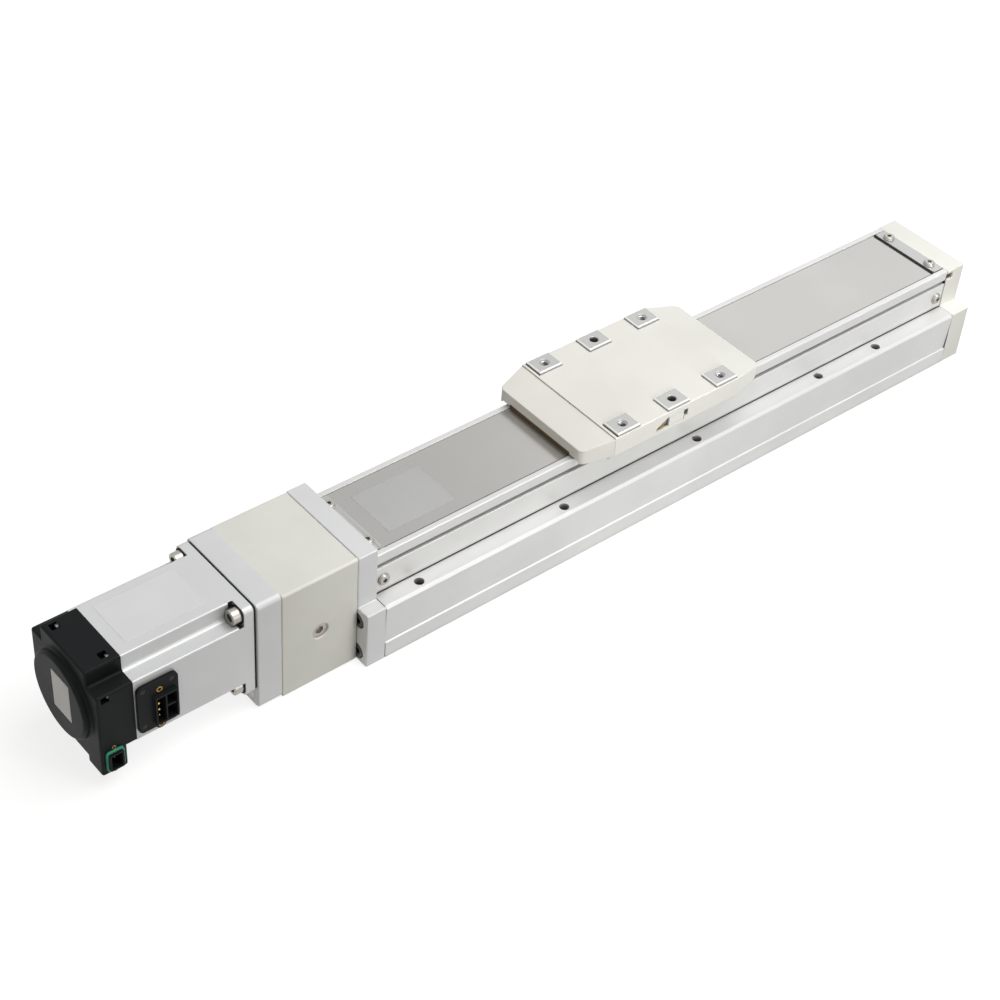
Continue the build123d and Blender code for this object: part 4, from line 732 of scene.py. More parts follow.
def bar(start: Point, end: Point, radius: float, sides: int = 48) -> Solid:
    """Add a round or many-sided bar between two points in millimetres.

    Args:
        start: The middle of one end.
        end: The middle of the other end.
        radius: The radius to its corners.
        sides: How many sides it has.

    Returns:
        The bar, with its place in its mesh.
    """
    deselect()
    a, b = Vector(start) * MM, Vector(end) * MM
    turn = (b - a).to_track_quat("Z", "Y").to_euler()
    bpy.ops.mesh.primitive_cylinder_add(vertices=sides, radius=radius * MM,
                                        depth=(b - a).length, location=(a + b) / 2,
                                        rotation=turn)
    bpy.ops.object.transform_apply(location=True, rotation=True, scale=True)
    return bpy.context.object


def change(obj: Solid, kind: str, **settings: object) -> None:
    """Add a modifier and apply it.

    Args:
        obj: The object to change.
        kind: The modifier's type.
        **settings: The modifier's options.
    """
    take(obj)
    modifier = obj.modifiers.new(kind.lower(), kind)
    for key, value in settings.items():
        setattr(modifier, key, value)
    bpy.ops.object.modifier_apply(modifier=modifier.name)


def combine(obj: Solid, tools: Sequence[Solid], operation: str,
            solver: str = "EXACT") -> None:
    """Work on an object with other shapes and throw those away.

    Args:
        obj: The object.
        tools: The shapes that work on it, in order.
        operation: What each of them does.
        solver: The solver that Blender uses for it.
    """
    for tool in tools:
        change(obj, "BOOLEAN", object=tool, operation=operation, solver=solver)
        bpy.data.objects.remove(tool)


def cut(obj: Solid, *tools: Solid) -> None:
    """Cut tool shapes out of an object."""
    combine(obj, tools, "DIFFERENCE")


def unite(obj: Solid, *others: Solid) -> None:
    """Merge other shapes into an object."""
    combine(obj, others, "UNION")


def merge_flat(obj: Solid) -> None:
    """Merge doubled corners and the pieces of flat faces.

    Args:
        obj: The object.
    """
    with editing(obj):
        bpy.ops.mesh.select_all(action="SELECT")
        bpy.ops.mesh.remove_doubles(threshold=2e-6)
        bpy.ops.mesh.dissolve_limited(angle_limit=math.radians(1.0))


def join(parts: Sequence[Solid]) -> Solid:
    """Join several objects into the first.

    Args:
        parts: The objects.

    Returns:
        The joined object.
    """
    take(parts[0])
    for part in parts[1:]:
        part.select_set(True)
    if len(parts) > 1:
        bpy.ops.object.join()
    return parts[0]


def ease(obj: Solid, width: float, segments: int = 2, angle: float = 35.0) -> None:
    """Round the sharp edges of an object.

    Args:
        obj: The object.
        width: How wide the rounding is, in millimetres.
        segments: How many steps the rounding has.
        angle: The least angle of an edge that is rounded, in degrees.
    """
    change(obj, "BEVEL", width=width * MM, segments=segments, limit_method="ANGLE",
           angle_limit=math.radians(angle), use_clamp_overlap=False)


def wire(points: Sequence[Point], closed: bool = False) -> Solid:
    """Link a loose wire through points in millimetres.

    Args:
        points: The points.
        closed: Whether the last is joined to the first.

    Returns:
        The wire.
    """
    count = len(points)
    mesh = bpy.data.meshes.new("wire")
    mesh.from_pydata([[part * MM for part in point] for point in points],
                     [(i, (i + 1) % count) for i in range(count if closed else count - 1)], [])
    line = bpy.data.objects.new("wire", mesh)
    bpy.context.scene.collection.objects.link(line)
    return line


def lathe(profile: Sequence[Pair], steps: int = 48) -> Solid:
    """Spin a profile of (radius, height) points round Z into a closed solid.

    Args:
        profile: The points from the axis and back to it, in millimetres.
        steps: How many steps the full turn has.

    Returns:
        The turned solid, standing at the origin.
    """
    turned = wire([(radius, 0.0, height) for radius, height in profile])
    with editing(turned, Part.VERT):
        bpy.ops.mesh.select_all(action="SELECT")
        bpy.ops.mesh.spin(steps=steps, angle=math.tau, center=(0.0, 0.0, 0.0),
                          axis=(0.0, 0.0, 1.0))
        bpy.ops.mesh.select_all(action="SELECT")
        bpy.ops.mesh.remove_doubles(threshold=1e-6)
        bpy.ops.mesh.normals_make_consistent(inside=False)
    return turned


def twin_of(source: Solid) -> Solid:
    """Link a copy of an object.

    Args:
        source: The object.

    Returns:
        The copy, with its own mesh.
    """
    twin = source.copy()
    twin.data = source.data.copy()
    bpy.context.scene.collection.objects.link(twin)
    return twin


def spread(master: Solid, places: Sequence[Matrix]) -> Solid:
    """Copy a shape to every place and join the copies.

    Args:
        master: The shape at the origin, which is thrown away.
        places: Where each copy stands.

    Returns:
        The joined copies.
    """
    copies = [twin_of(master) for _ in places]
    for copy, place in zip(copies, places, strict=True):
        copy.data.transform(place)
    bpy.data.objects.remove(master)
    return join(copies)


def standing_at(place: Point, way: Point, turn: float = 0.0) -> Matrix:
    """Return the matrix that stands a Z-up shape at a place, facing a way.

    Args:
        place: Where its origin goes, in millimetres.
        way: Where its Z axis points.
        turn: A turn about its own axis first, in degrees.

    Returns:
        The matrix.
    """
    facing = Vector(way).to_track_quat("Z", "Y").to_matrix().to_4x4()
    spin = Matrix.Rotation(math.radians(turn), 4, "Z")
    return Matrix.Translation(Vector(place) * MM) @ facing @ spin


def cad_copy(node: str) -> Solid:
    """Make a clean joined copy of a CAD node's mesh, free to be shaped.

    Args:
        node: The node's name.

    Returns:
        The copy.
    """
    twin = twin_of(frame["nodes"][node])
    for key in [key for key in twin.keys() if key.startswith("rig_")]:
        del twin[key]
    twin.parent = None
    merge_flat(twin)
    return twin


def settle(obj: Solid, name: str, look: Look, body: str, replaced: Sequence[str] = (),
           smooth: float = 32.0) -> Solid:
    """Finish a piece: name, material, shading, body and what it replaces.

    Args:
        obj: The shaped object, with its place in its mesh.
        name: The piece's name.
        look: Its material and the record's slot that it belongs to.
        body: The CAD body that it rides on.
        replaced: The CAD nodes that it stands for.
        smooth: The greatest angle that is shaded smooth, in degrees.

    Returns:
        The finished piece.
    """
    obj.name = name
    obj.data.name = name
    obj.data.materials.clear()
    obj.data.materials.append(look.material)
    take(obj)
    bpy.ops.object.shade_smooth_by_angle(angle=math.radians(smooth))
    change(obj, "WEIGHTED_NORMAL", mode="FACE_AREA", weight=50, keep_sharp=True)
    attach(obj, body)
    if replaced:
        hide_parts(*replaced)
    LOG.info("%s: %d faces on %s", name, len(obj.data.polygons), body)
    return obj


# Screws


class Head(Enum):
    """The head shapes of the screws."""

    DOMED = "domed"
    CAP = "cap"


@dataclass(frozen=True)
class Screw:
    """A socket screw along +Z, with the underside of its head at the origin."""

    head: Head
    radius: float
    height: float
    shank: float
    length: float
    socket: float
    socket_share: float = 0.6
    tip_share: float = 0.8
    least_sides: int = 32
    knurls: int = 0
    knurl_depth: float = 0.12
    crown_flat: float = 0.66
    crown_foot: float = 0.9
    crown_steps: int = 6
    flange_share: float = 0.4
    flange_edge: Pair = (0.96, 0.8)
    cap_edge: float = 0.45
    cap_shoulder: Pair = (0.35, 0.3)

    def _rim(self) -> list[Pair]:
        """Draw the head's outline from its seat to its crown.

        Returns:
            Its points, as radius and height.
        """
        if self.head is Head.DOMED:
            flat, foot = self.radius * self.crown_flat, self.radius * self.crown_foot
            low = self.height * self.flange_share
            across, up = self.flange_edge
            steps = self.crown_steps
            turns = [math.radians(90 * i / steps) for i in range(steps + 1)]
            return [(self.radius, 0.0), (self.radius, low * up), (self.radius * across, low)] + [
                (flat + (foot - flat) * math.cos(turn),
                 low + (self.height - low) * math.sin(turn)) for turn in turns]
        edge = self.cap_edge
        across, up = self.cap_shoulder
        return [(self.radius, 0.0), (self.radius, self.height - edge),
                (self.radius - edge * across, self.height - edge * up),
                (self.radius - edge, self.height)]

    def build(self) -> Solid:
        """Turn the screw, press its knurls and sink its socket.

        Returns:
            The screw, standing at the origin.
        """
        tip = self.shank * self.tip_share
        profile = [(0.0, -self.length), (tip, -self.length),
                   (self.shank, -self.length + self.shank - tip), (self.shank, 0.0),
                   *self._rim(), (0.0, self.height)]
        screw = lathe(profile, steps=max(self.least_sides, 2 * self.knurls))
        if self.knurls:
            self._knurl(screw)
        depth = self.height * self.socket_share
        cut(screw, bar((0.0, 0.0, self.height - depth), (0.0, 0.0, self.height + PAST),
                       self.socket, sides=6))
        return screw

    def _knurl(self, screw: Solid) -> None:
        """Press the upright grooves into the side of a cap head.

        Args:
            screw: The turned screw.
        """
        step = math.tau / (2 * self.knurls)

        def in_groove(vert: bmesh.types.BMVert) -> bool:
            """Say whether a corner of the head's side lies in a groove.

            Args:
                vert: The corner.

            Returns:
                Whether it does.
            """
            place = vert.co / MM
            turn = round(math.atan2(place.y, place.x) / step)
            return place.z > TOUCH and place.xy.length > self.radius - TOUCH and turn % 2 == 1

        with editing(screw, Part.VERT):
            pick(screw, Part.VERT, in_groove)
            share = 1.0 - self.knurl_depth / self.radius
            bpy.ops.transform.resize(value=(share, share, 1.0),
                                     center_override=(0.0, 0.0, 0.0))


@dataclass(frozen=True)
class ScrewRow:
    """Where one kind of screw sits and which CAD node it stands for."""

    name: str
    screw: Screw
    places: tuple[Point, ...]
    ways: tuple[Point, ...]
    node: str
    slot: str = "screw_steel"
    turn_step: float = 17.0

    def build(self, looks: dict[str, Look]) -> None:
        """Model the screw once and copy it to every place.

        Args:
            looks: The finished materials.
        """
        rows = [standing_at(place, way, self.turn_step * index) for index, (place, way)
                in enumerate(zip(self.places, self.ways, strict=True))]
        settle(spread(self.screw.build(), rows), self.name, looks[self.slot], "base",
               (self.node,))


def screw_rows(motor: "MotorUnit") -> tuple[ScrewRow, ...]:
    """List every row of screws that can be seen from outside.

    Args:
        motor: The motor, whose flange says where its bolts are.

    Returns:
        The rows.
    """
    left, right, up, near, far = (-1, 0, 0), (1, 0, 0), (0, 0, 1), (0, -1, 0), (0, 1, 0)
    trim = Screw(Head.DOMED, radius=3.6, height=2.0, shank=1.9, length=9.0, socket=1.4)
    cap = Screw(Head.CAP, radius=4.25, height=5.0, shank=2.4, length=20.0, socket=2.3,
                knurls=24)
    bolt = Screw(Head.CAP, radius=4.25, height=5.0, shank=2.4, length=18.0, socket=2.6,
                 socket_share=0.7, knurls=24)
    clamps = tuple((x, y, 63.2) for x in (-215.8, 215.8) for y in (-16.75, 16.75))
    panels = tuple((x, y, 45.0) for y in (-28.5, 28.5) for x in (-214.0, 214.0))
    front_seat, rear_seat = -232.5 + cap.height, 235.0 - cap.height
    ends = tuple((x, y, z) for x in (front_seat, rear_seat)
                 for y in (-32.0, 32.0) for z in (6.6, 28.4))
    corners = tuple((motor.face, y, z) for y, z in motor.bolts())
    return (
        ScrewRow("trim_screw_set", trim, clamps + panels,
                 (up,) * 4 + (near,) * 2 + (far,) * 2, "trim_screws"),
        ScrewRow("end_screw_set", cap, ends, (left,) * 4 + (right,) * 4, "end_screws",
                 "black_screw"),
        ScrewRow("motor_bolt_set", bolt, corners, (left,) * 4, "motor_bolts"),
    )


# Slider


@dataclass
class SliderTop:
    """The slider's cream moulding and door, and the table with its pads."""

    looks: dict[str, Look]
    centre: float = -19.0
    main_half: float = 47.3
    half_length: float = 67.4
    half_width: float = 39.5
    tip_narrowing: float = 5.5
    tip_fall: float = 3.2
    tip_radius: float = 3.0
    inner_tip_radius: float = 1.5
    top: float = 74.6
    end_step: float = 0.5
    side_edge: float = 0.9
    seam_edge: float = 0.15
    end_edge: float = 0.4
    skirt_bottom: float = 62.0
    end_bottom: float = 63.9
    wall: float = 1.5
    seam_lap: float = 0.5
    seam_width: float = 0.55
    seam_depth: float = 0.9
    tool_side: float = 41.0
    passages: tuple[Pair, ...] = ((32.5, 63.9), (25.2, 65.2))
    notch: Corners = ((-35.4, -41.0, 64.3), (-27.2, -36.0, 71.0))
    notch_slant: float = 4.6
    door_windows: tuple[Corners, ...] = (
        ((-27.4, -41.0, 64.3), (-14.5, -36.0, 70.8)),
        ((-14.7, -41.0, 66.0), (-12.0, -36.0, 70.6)),
    )
    door: Corners = ((-25.9, -39.35, 64.35), (-14.7, -38.0, 70.55))
    door_groove: Corners = ((-26.5, -39.5, 69.4), (-14.0, -39.5, 69.4))
    door_groove_radius: float = 0.35
    door_edge: float = 0.2
    pad_half: Pair = (8.15, 6.2)
    pad_row: float = 32.5
    pad_step: float = 37.0
    pad_top: float = 76.2
    pad_gap: float = 0.2
    pad_wide_gap: float = 0.6
    pad_chamfer: float = 0.65
    overlap: float = 0.05
    pad_tool: Pair = (68.0, 80.0)
    table: tuple[float, float, float, float] = (46.15, 37.5, 65.2, 73.1)
    hole_radius: float = 2.5
    drill_tip: float = 0.8
    threaded_hole: Pair = (10.0, 0.6)
    dowel_hole: Pair = (8.0, 0.4)
    thread_sink: float = 0.8
    thread_depth: float = 0.45
    thread_pitch: float = 1.0
    thread_crest: float = 0.08
    thread_foot: float = 0.42
    thread_turns: int = 7
    wiper_reach: Pair = (61.9, 66.7)
    wiper_half: float = 24.9
    wiper_heights: Pair = (62.45, 65.1)
    wiper_edge: float = 0.15
    port_place: Point = (-30.8, -37.45, 66.6)
    port_profile: tuple[Pair, ...] = (
        (0.0, 0.0), (2.9, 0.0), (2.9, 0.5), (1.6, 0.8), (1.5, 1.4), (0.7, 1.5), (0.6, 1.1),
        (0.0, 1.1))

    def build(self) -> None:
        """Make every piece of the slider's top."""
        self._moulding()
        self._door()
        self._table()
        self._wipers()
        self._grease_port()

    def _pad_places(self) -> list[tuple[float, float, int]]:
        """Return each pad's middle and its column: -1, 0 or 1, from the motor's end."""
        return [(self.centre + step * self.pad_step, side * self.pad_row, step)
                for step in (-1, 0, 1) for side in (-1, 1)]

    def _main(self, inset: float) -> Solid:
        """Make the middle of the moulding.

        Args:
            inset: How far it is drawn in.

        Returns:
            The middle.
        """
        half, width = self.main_half - inset, self.half_width - inset
        main = block((self.centre - half, -width, self.skirt_bottom - inset),
                     (self.centre + half, width, self.top - inset))
        bevel_where(main, lambda e: runs_along(e, 0) and middle(e).z > self.end_bottom,
                    self.side_edge, 4)
        bevel_where(main, lambda e: runs_along(e, 1) and middle(e).z > self.end_bottom
                    and abs(abs(middle(e).x - self.centre) - half) < TOUCH,
                    self.seam_edge, 1)
        return main

    def _end(self, way: int, inset: float) -> Solid:
        """Make one tapered end of the moulding.

        Args:
            way: -1 for the motor's end, 1 for the other.
            inset: How far it is drawn in.

        Returns:
            The end, which reaches a little into the middle.
        """
        inner = self.centre + way * (self.main_half - self.seam_lap)
        outer = self.centre + way * (self.half_length - inset)
        width, top = self.half_width - inset, self.top - self.end_step - inset
        end = block((min(inner, outer), -width, self.skirt_bottom - 2 * inset),
                    (max(inner, outer), width, top))

        def at_tip(place: Vector) -> bool:
            """Say whether a point lies at the outer end."""
            return abs(place.x / MM - outer) < TOUCH

        def on_rim(edge: bmesh.types.BMEdge) -> bool:
            """Say whether an edge lies between the top and a side.

            Args:
                edge: The edge.

            Returns:
                Whether it does, away from the middle of the moulding.
            """
            tilts = [abs(face.normal.z) for face in edge.link_faces]
            return (middle(edge).z > self.end_bottom + 1.0 and not runs_along(edge, 2)
                    and abs(middle(edge).x - inner) > 10 * TOUCH
                    and max(tilts) > 0.9 and min(tilts) < 0.5)

        for side in (-1, 1):
            move_where(end, lambda v, s=side: at_tip(v.co) and v.co.y * s > 0,
                       (0.0, -side * self.tip_narrowing, 0.0))
        move_where(end, lambda v: at_tip(v.co) and v.co.z > (top - 1.0) * MM,
                   (0.0, 0.0, -self.tip_fall))
        bevel_where(end, lambda e: runs_along(e, 2) and at_tip(e.verts[0].co),
                    self.inner_tip_radius if inset else self.tip_radius, 5)
        bevel_where(end, on_rim, self.end_edge, 3)
        return end

    def _solid(self, inset: float) -> Solid:
        """Make the whole outer form, or with an inset the hollow inside it.

        Args:
            inset: How far it is drawn in.

        Returns:
            The form.
        """
        form = self._main(inset)
        unite(form, self._end(-1, inset), self._end(1, inset))
        return form

    def _moulding(self) -> None:
        """Make the thin cream moulding with its windows."""
        shell = self._solid(0.0)
        cut(shell, self._solid(self.wall))
        reach = self.half_length + PAST
        for half, high in self.passages:
            cut(shell, block((self.centre - reach, -half, self.skirt_bottom - PAST),
                             (self.centre + reach, half, high)))
        (half, width), gap, (low, high) = self.pad_half, self.pad_gap, self.pad_tool
        for x, y, column in self._pad_places():
            front = self.pad_wide_gap if column < 0 else gap
            cut(shell, block((x - half - front, y - width - gap, low),
                             (x + half + gap, y + width + gap, high)))
        seam = self.centre - self.main_half
        cut(shell, block((seam - self.seam_width, -self.tool_side, self.top - self.seam_depth),
                         (seam, self.tool_side, self.top + PAST)))
        notch = block(*self.notch)
        (front, _, _), (_, _, high) = self.notch
        move_where(notch, lambda v: abs(v.co.x / MM - front) < TOUCH
                   and abs(v.co.z / MM - high) < TOUCH, (0.0, 0.0, -self.notch_slant))
        cut(shell, notch, *(block(*window) for window in self.door_windows))
        settle(shell, "slider_moulding", self.looks["slider_cream"], "carriage",
               ("slider_cover",), smooth=28.0)

    def _door(self) -> None:
        """Make the small service door, which leaves a notch free at each side."""
        door = block(*self.door)
        cut(door, bar(*self.door_groove, self.door_groove_radius, sides=16))
        ease(door, self.door_edge)
        settle(door, "service_door", self.looks["slider_cream"], "carriage", ("grease_door",))

    def _table(self) -> None:
        """Make the table with six chamfered pads, their holes and threads."""
        half, width, bottom, top = self.table
        table = block((self.centre - half, -width, bottom), (self.centre + half, width, top))
        shoulder, lap = self.pad_top - self.pad_chamfer, self.pad_chamfer + self.overlap
        coils, bevels = [], []
        for x, y, column in self._pad_places():
            unite(table, self._pad(x, y, 0.0, top - PAST, shoulder),
                  self._pad(x, y, lap, shoulder - PAST, self.pad_top))
            bevels.append(self._pad_bevel(x, y))
            depth, sink = self.threaded_hole if column else self.dowel_hole
            radius, mouth = self.hole_radius, self.hole_radius + sink
            drill = lathe([(0.0, -depth - self.drill_tip), (radius, -depth), (radius, -sink),
                           (mouth, 0.0), (mouth, PAST), (0.0, PAST)], steps=40)
            drill.data.transform(standing_at((x, y, self.pad_top), (0, 0, 1)))
            cut(table, drill)
            if column:
                coils.append(self._thread(x, y))
        # The pale pad bevels carry a painted highlight
        for piece, name, look, replaced in (
                (table, "pad_table", "pad_aluminium", ("slider_table",)),
                (join(coils), "pad_thread_inserts", "thread_steel", ()),
                (join(bevels), "pad_bevels", "pad_bevel", ())):
            settle(piece, name, self.looks[look], "carriage", replaced)

    def _pad(self, x: float, y: float, inset: float, low: float, high: float) -> Solid:
        """Make a pad's block.

        Args:
            x: The pad's middle along X.
            y: The pad's middle along Y.
            inset: How far it is drawn in on all sides.
            low: Its lowest height.
            high: Its greatest height.

        Returns:
            The block.
        """
        half, width = self.pad_half[0] - inset, self.pad_half[1] - inset
        return block((x - half, y - width, low), (x + half, y + width, high))

    def _pad_bevel(self, x: float, y: float) -> Solid:
        """Make the milled bevel that frames a pad's top; its pale colour is a painted highlight.

        Args:
            x: The pad's middle along X.
            y: The pad's middle along Y.

        Returns:
            The bevel.
        """
        rim = self._pad(x, y, 0.0, self.pad_top - self.pad_chamfer - 2 * TOUCH, self.pad_top)
        bevel_where(rim, lambda e: middle(e).z > self.pad_top - TOUCH, self.pad_chamfer, 1)
        cut(rim, self._pad(x, y, self.pad_chamfer + self.overlap, 70.0, 80.0))
        return rim

    def _thread(self, x: float, y: float) -> Solid:
        """Wind a closed thread ridge down a pad's hole.

        Args:
            x: The hole's middle along X.
            y: The hole's middle along Y.

        Returns:
            The ridge.
        """
        foot, pitch = self.hole_radius + self.overlap, self.thread_pitch
        half, crest = pitch * self.thread_foot, foot - self.thread_depth
        ridge = wire([(foot, 0.0, half), (crest, 0.0, self.thread_crest),
                      (crest, 0.0, -self.thread_crest), (foot, 0.0, -half)], closed=True)
        change(ridge, "SCREW", axis="Z", angle=math.tau, iterations=self.thread_turns,
               steps=24, render_steps=24, screw_offset=-pitch * MM, use_merge_vertices=False)
        with editing(ridge, Part.EDGE):
            bpy.ops.mesh.select_non_manifold()
            bpy.ops.mesh.fill_holes(sides=0)
            bpy.ops.mesh.select_all(action="SELECT")
            bpy.ops.mesh.normals_make_consistent(inside=False)
        ridge.data.transform(standing_at((x, y, self.pad_top - self.thread_sink), (0, 0, 1)))
        return ridge

    def _wipers(self) -> None:
        """Make the dark wipers that sweep the strip under both ends."""
        half, (low, high) = self.wiper_half, self.wiper_heights
        for label, way in (("front", -1), ("rear", 1)):
            first, last = sorted(self.centre + way * reach for reach in self.wiper_reach)
            wiper = block((first, -half, low), (last, half, high))
            ease(wiper, self.wiper_edge)
            settle(wiper, f"strip_wiper_{label}", self.looks["wiper_felt"], "carriage")

    def _grease_port(self) -> None:
        """Make the small brass port beside the service door."""
        port = lathe(self.port_profile, steps=32)
        port.data.transform(standing_at(self.port_place, (0, -1, 0)))
        settle(port, "grease_port", self.looks["insert_brass"], "carriage")


# Body and motor


@dataclass(frozen=True)
class Eased:
    """A CAD form that is carried over with its sharp edges rounded."""

    node: str
    name: str
    width: float
    segments: int = 2
    angle: float = 35.0
    slot_pair: Corners | None = None


@dataclass
class BodyForms:
    """The base, covers, plates and motor cases with real rounded edges."""

    looks: dict[str, Look]
    slots: dict[str, str]
    forms: tuple[Eased, ...] = (
        Eased("base_profile", "base_extrusion", 0.3),
        Eased("side_panel_near", "panel_near", 0.3),
        Eased("side_panel_far", "panel_far", 0.3),
        Eased("top_cover", "lid_profile", 0.18),
        Eased("front_plate", "front_adapter", 0.5, 3, angle=50.0),
        Eased("coupling_housing", "cream_housing", 0.5, 3),
        Eased("motor_plate", "motor_adapter", 0.5, 3, angle=50.0),
        Eased("end_cap", "cream_end_cap", 0.6, 3, angle=50.0,
              slot_pair=((219.5, 26.2, 56.6), (225.4, 29.606, 60.4))),
        Eased("strip_clamp_front", "clamp_front", 0.15),
        Eased("strip_clamp_rear", "clamp_rear", 0.15),
        Eased("encoder_connector", "signal_socket", 0.15),
        Eased("power_connector", "power_socket", 0.2),
    )

    def build(self) -> None:
        """Make every carried-over form."""
        for form in self.forms:
            piece = cad_copy(form.node)
            if form.slot_pair:
                cut(piece, *both_sides(*form.slot_pair))
            ease(piece, form.width, form.segments, form.angle)
            settle(piece, form.name, self.looks[self.slots[form.node]], "base", (form.node,))


@dataclass
class MotorUnit:
    """The motor's silver case, its black rear cover and the bare plates."""

    looks: dict[str, Look]
    rear: float = -383.5
    seam: float = -363.5
    face: float = -300.5
    front: float = -294.5
    axis: float = 42.0
    half: float = 30.0
    arm: float = 20.3
    case_lap: float = 4.0
    case_edge: float = 0.8
    case_corner: float = 2.0
    flange_corner: float = 3.0
    flange_edge: float = 0.5
    pilot: tuple[float, float, float] = (-295.5, -290.5, 25.0)
    hollows: tuple[tuple[float, float, float], ...] = (
        (-352.5, -303.5, 24.5), (-360.5, -352.4, 14.0), (-364.5, -360.4, 7.0),
        (-303.6, -295.5, 14.0), (-295.6, -289.5, 7.0),
    )
    power_window: Corners = ((-360.7, -31.0, 28.7), (-342.1, -26.2, 55.3))
    power_rib: Corners = ((-347.8, -33.2, 38.1), (-342.1, -27.6, 39.2))
    bolt_half: float = 24.75
    bolt_cuts: tuple[tuple[float, float, float], ...] = (
        (-303.1, -300.3, 7.2), (-301.5, -293.5, 2.5))
    # Dark rings behind the bolt heads: painted shade of the bolt pockets
    shade_ring: tuple[float, float, float] = (2.6, 5.15, 0.5)
    shade_ring_sink: float = 0.2
    wall: float = 2.0
    rounding: float = 1.4
    boss_radius: float = 24.0
    boss_height: float = 4.0
    boss_rim: float = 2.0
    boss_foot: float = 1.4
    block_low: Point = (-383.5, -30.0, 8.0)
    block_high: Point = (-369.0, -16.5, 27.7)
    window_depth: float = 4.0
    window_half: float = 2.3
    window_floor: float = 2.0
    window_bore: float = 1.0
    windows: tuple[Point, ...] = ((-369.8, -14.5, 70.0), (-378.3, 15.0, 70.0),
                                  (-378.8, -28.0, 59.4), (-378.3, 28.0, 23.7))
    plug: Pair = (-376.25, 17.3)
    plug_half: Pair = (4.0, 5.5)
    plug_rounding: float = 0.9
    plug_screw: Pair = (7.8, 1.2)
    plate_low: Pair = (-11.0, 32.3)
    plate_high: Pair = (5.1, 57.3)
    plate_gap: float = 0.3
    plate_sink: float = 0.25
    plate_lift: float = 0.03
    plate_rounding: float = 0.5
    case_film: Corners = ((-357.0, -13.9, 71.9), (-311.0, 15.7, 72.06))
    film_rounding: float = 1.0

    def build(self) -> None:
        """Make the motor's own pieces."""
        self._case()
        self._cover()
        self._films()
        settle(block(*self.power_rib), "power_socket_rib", self.looks["black_moulding"], "base")

    def bolts(self) -> list[Pair]:
        """Return each flange bolt's place, across and up."""
        return [(y, self.axis + z) for y in (-self.bolt_half, self.bolt_half)
                for z in (-self.bolt_half, self.bolt_half)]

    def _rod(self, start: float, end: float, radius: float, place: Pair | None = None) -> Solid:
        """Make a bar along X.

        Args:
            start: Where it starts along X.
            end: Where it ends along X.
            radius: Its radius.
            place: Where it lies, across and up, if not on the motor's axis.

        Returns:
            The bar.
        """
        y, z = place or (0.0, self.axis)
        return bar((start, y, z), (end, y, z), radius, sides=96)

    def _case(self) -> None:
        """Make the case with its front flange as one casting, and the dark rings round the bolt
        heads, which are painted shade.
        """
        case = self._cross(self.seam, self.face + self.case_lap, self.half, self.arm)
        bevel_where(case, lambda e: runs_along(e, 0) and e.calc_face_angle_signed(0.0) > 1.0,
                    self.case_edge, 3)
        bevel_where(case, lambda e: e.calc_face_angle_signed(0.0) < -1.0, self.case_corner, 5)
        flange = rounded((self.face, -self.half, self.axis - self.half),
                         (self.front, self.half, self.axis + self.half), 0,
                         self.flange_corner)
        ease(flange, self.flange_edge, 3)
        unite(case, flange, self._rod(*self.pilot))
        merge_flat(case)
        cut(case, *(self._rod(*hollow) for hollow in self.hollows), block(*self.power_window))
        for place in self.bolts():
            cut(case, *(self._rod(*tool, place) for tool in self.bolt_cuts))
        settle(case, "motor_case", self.looks["motor_aluminium"], "base",
               ("motor_body", "motor_flange"))
        # Dark rings behind the bolt heads: painted shade of the bolt pockets
        inner, outer, thick = self.shade_ring
        ring = lathe([(inner, 0.0), (outer, 0.0), (outer, thick), (inner, thick),
                      (inner, 0.0)], steps=48)
        rows = [standing_at((self.face + self.shade_ring_sink, *place), (-1, 0, 0))
                for place in self.bolts()]
        settle(spread(ring, rows), "bolt_washers", self.looks["bumper_rubber"], "base")

    def _cross(self, start: float, end: float, half: float, arm: float) -> Solid:
        """Make a square bar along X with its four corners notched out.

        Args:
            start: Where it starts along X.
            end: Where it ends along X.
            half: Half of its full width.
            arm: Half the width of its arms.

        Returns:
            The bar.
        """
        upright = block((start, -arm, self.axis - half), (end, arm, self.axis + half))
        unite(upright, block((start, -half, self.axis - arm), (end, half, self.axis + arm)))
        merge_flat(upright)
        return upright

    def _boss(self) -> Solid:
        """Turn the round boss with its soft rim and flared foot.

        Returns:
            The boss, at its place.
        """
        turns = [math.radians(15 * i) for i in range(7)]
        radius, height, rim, foot = (self.boss_radius, self.boss_height, self.boss_rim,
                                     self.boss_foot)
        profile = [(0.0, height)]
        profile += [(radius - rim + rim * math.sin(a), height - rim + rim * math.cos(a))
                    for a in turns]
        profile += [(radius + foot - foot * math.cos(a), foot - foot * math.sin(a))
                    for a in turns]
        profile += [(radius + foot, -PAST), (0.0, -PAST)]
        boss = lathe(profile, steps=96)
        boss.data.transform(standing_at((self.rear, 0.0, self.axis), (-1, 0, 0)))
        return boss

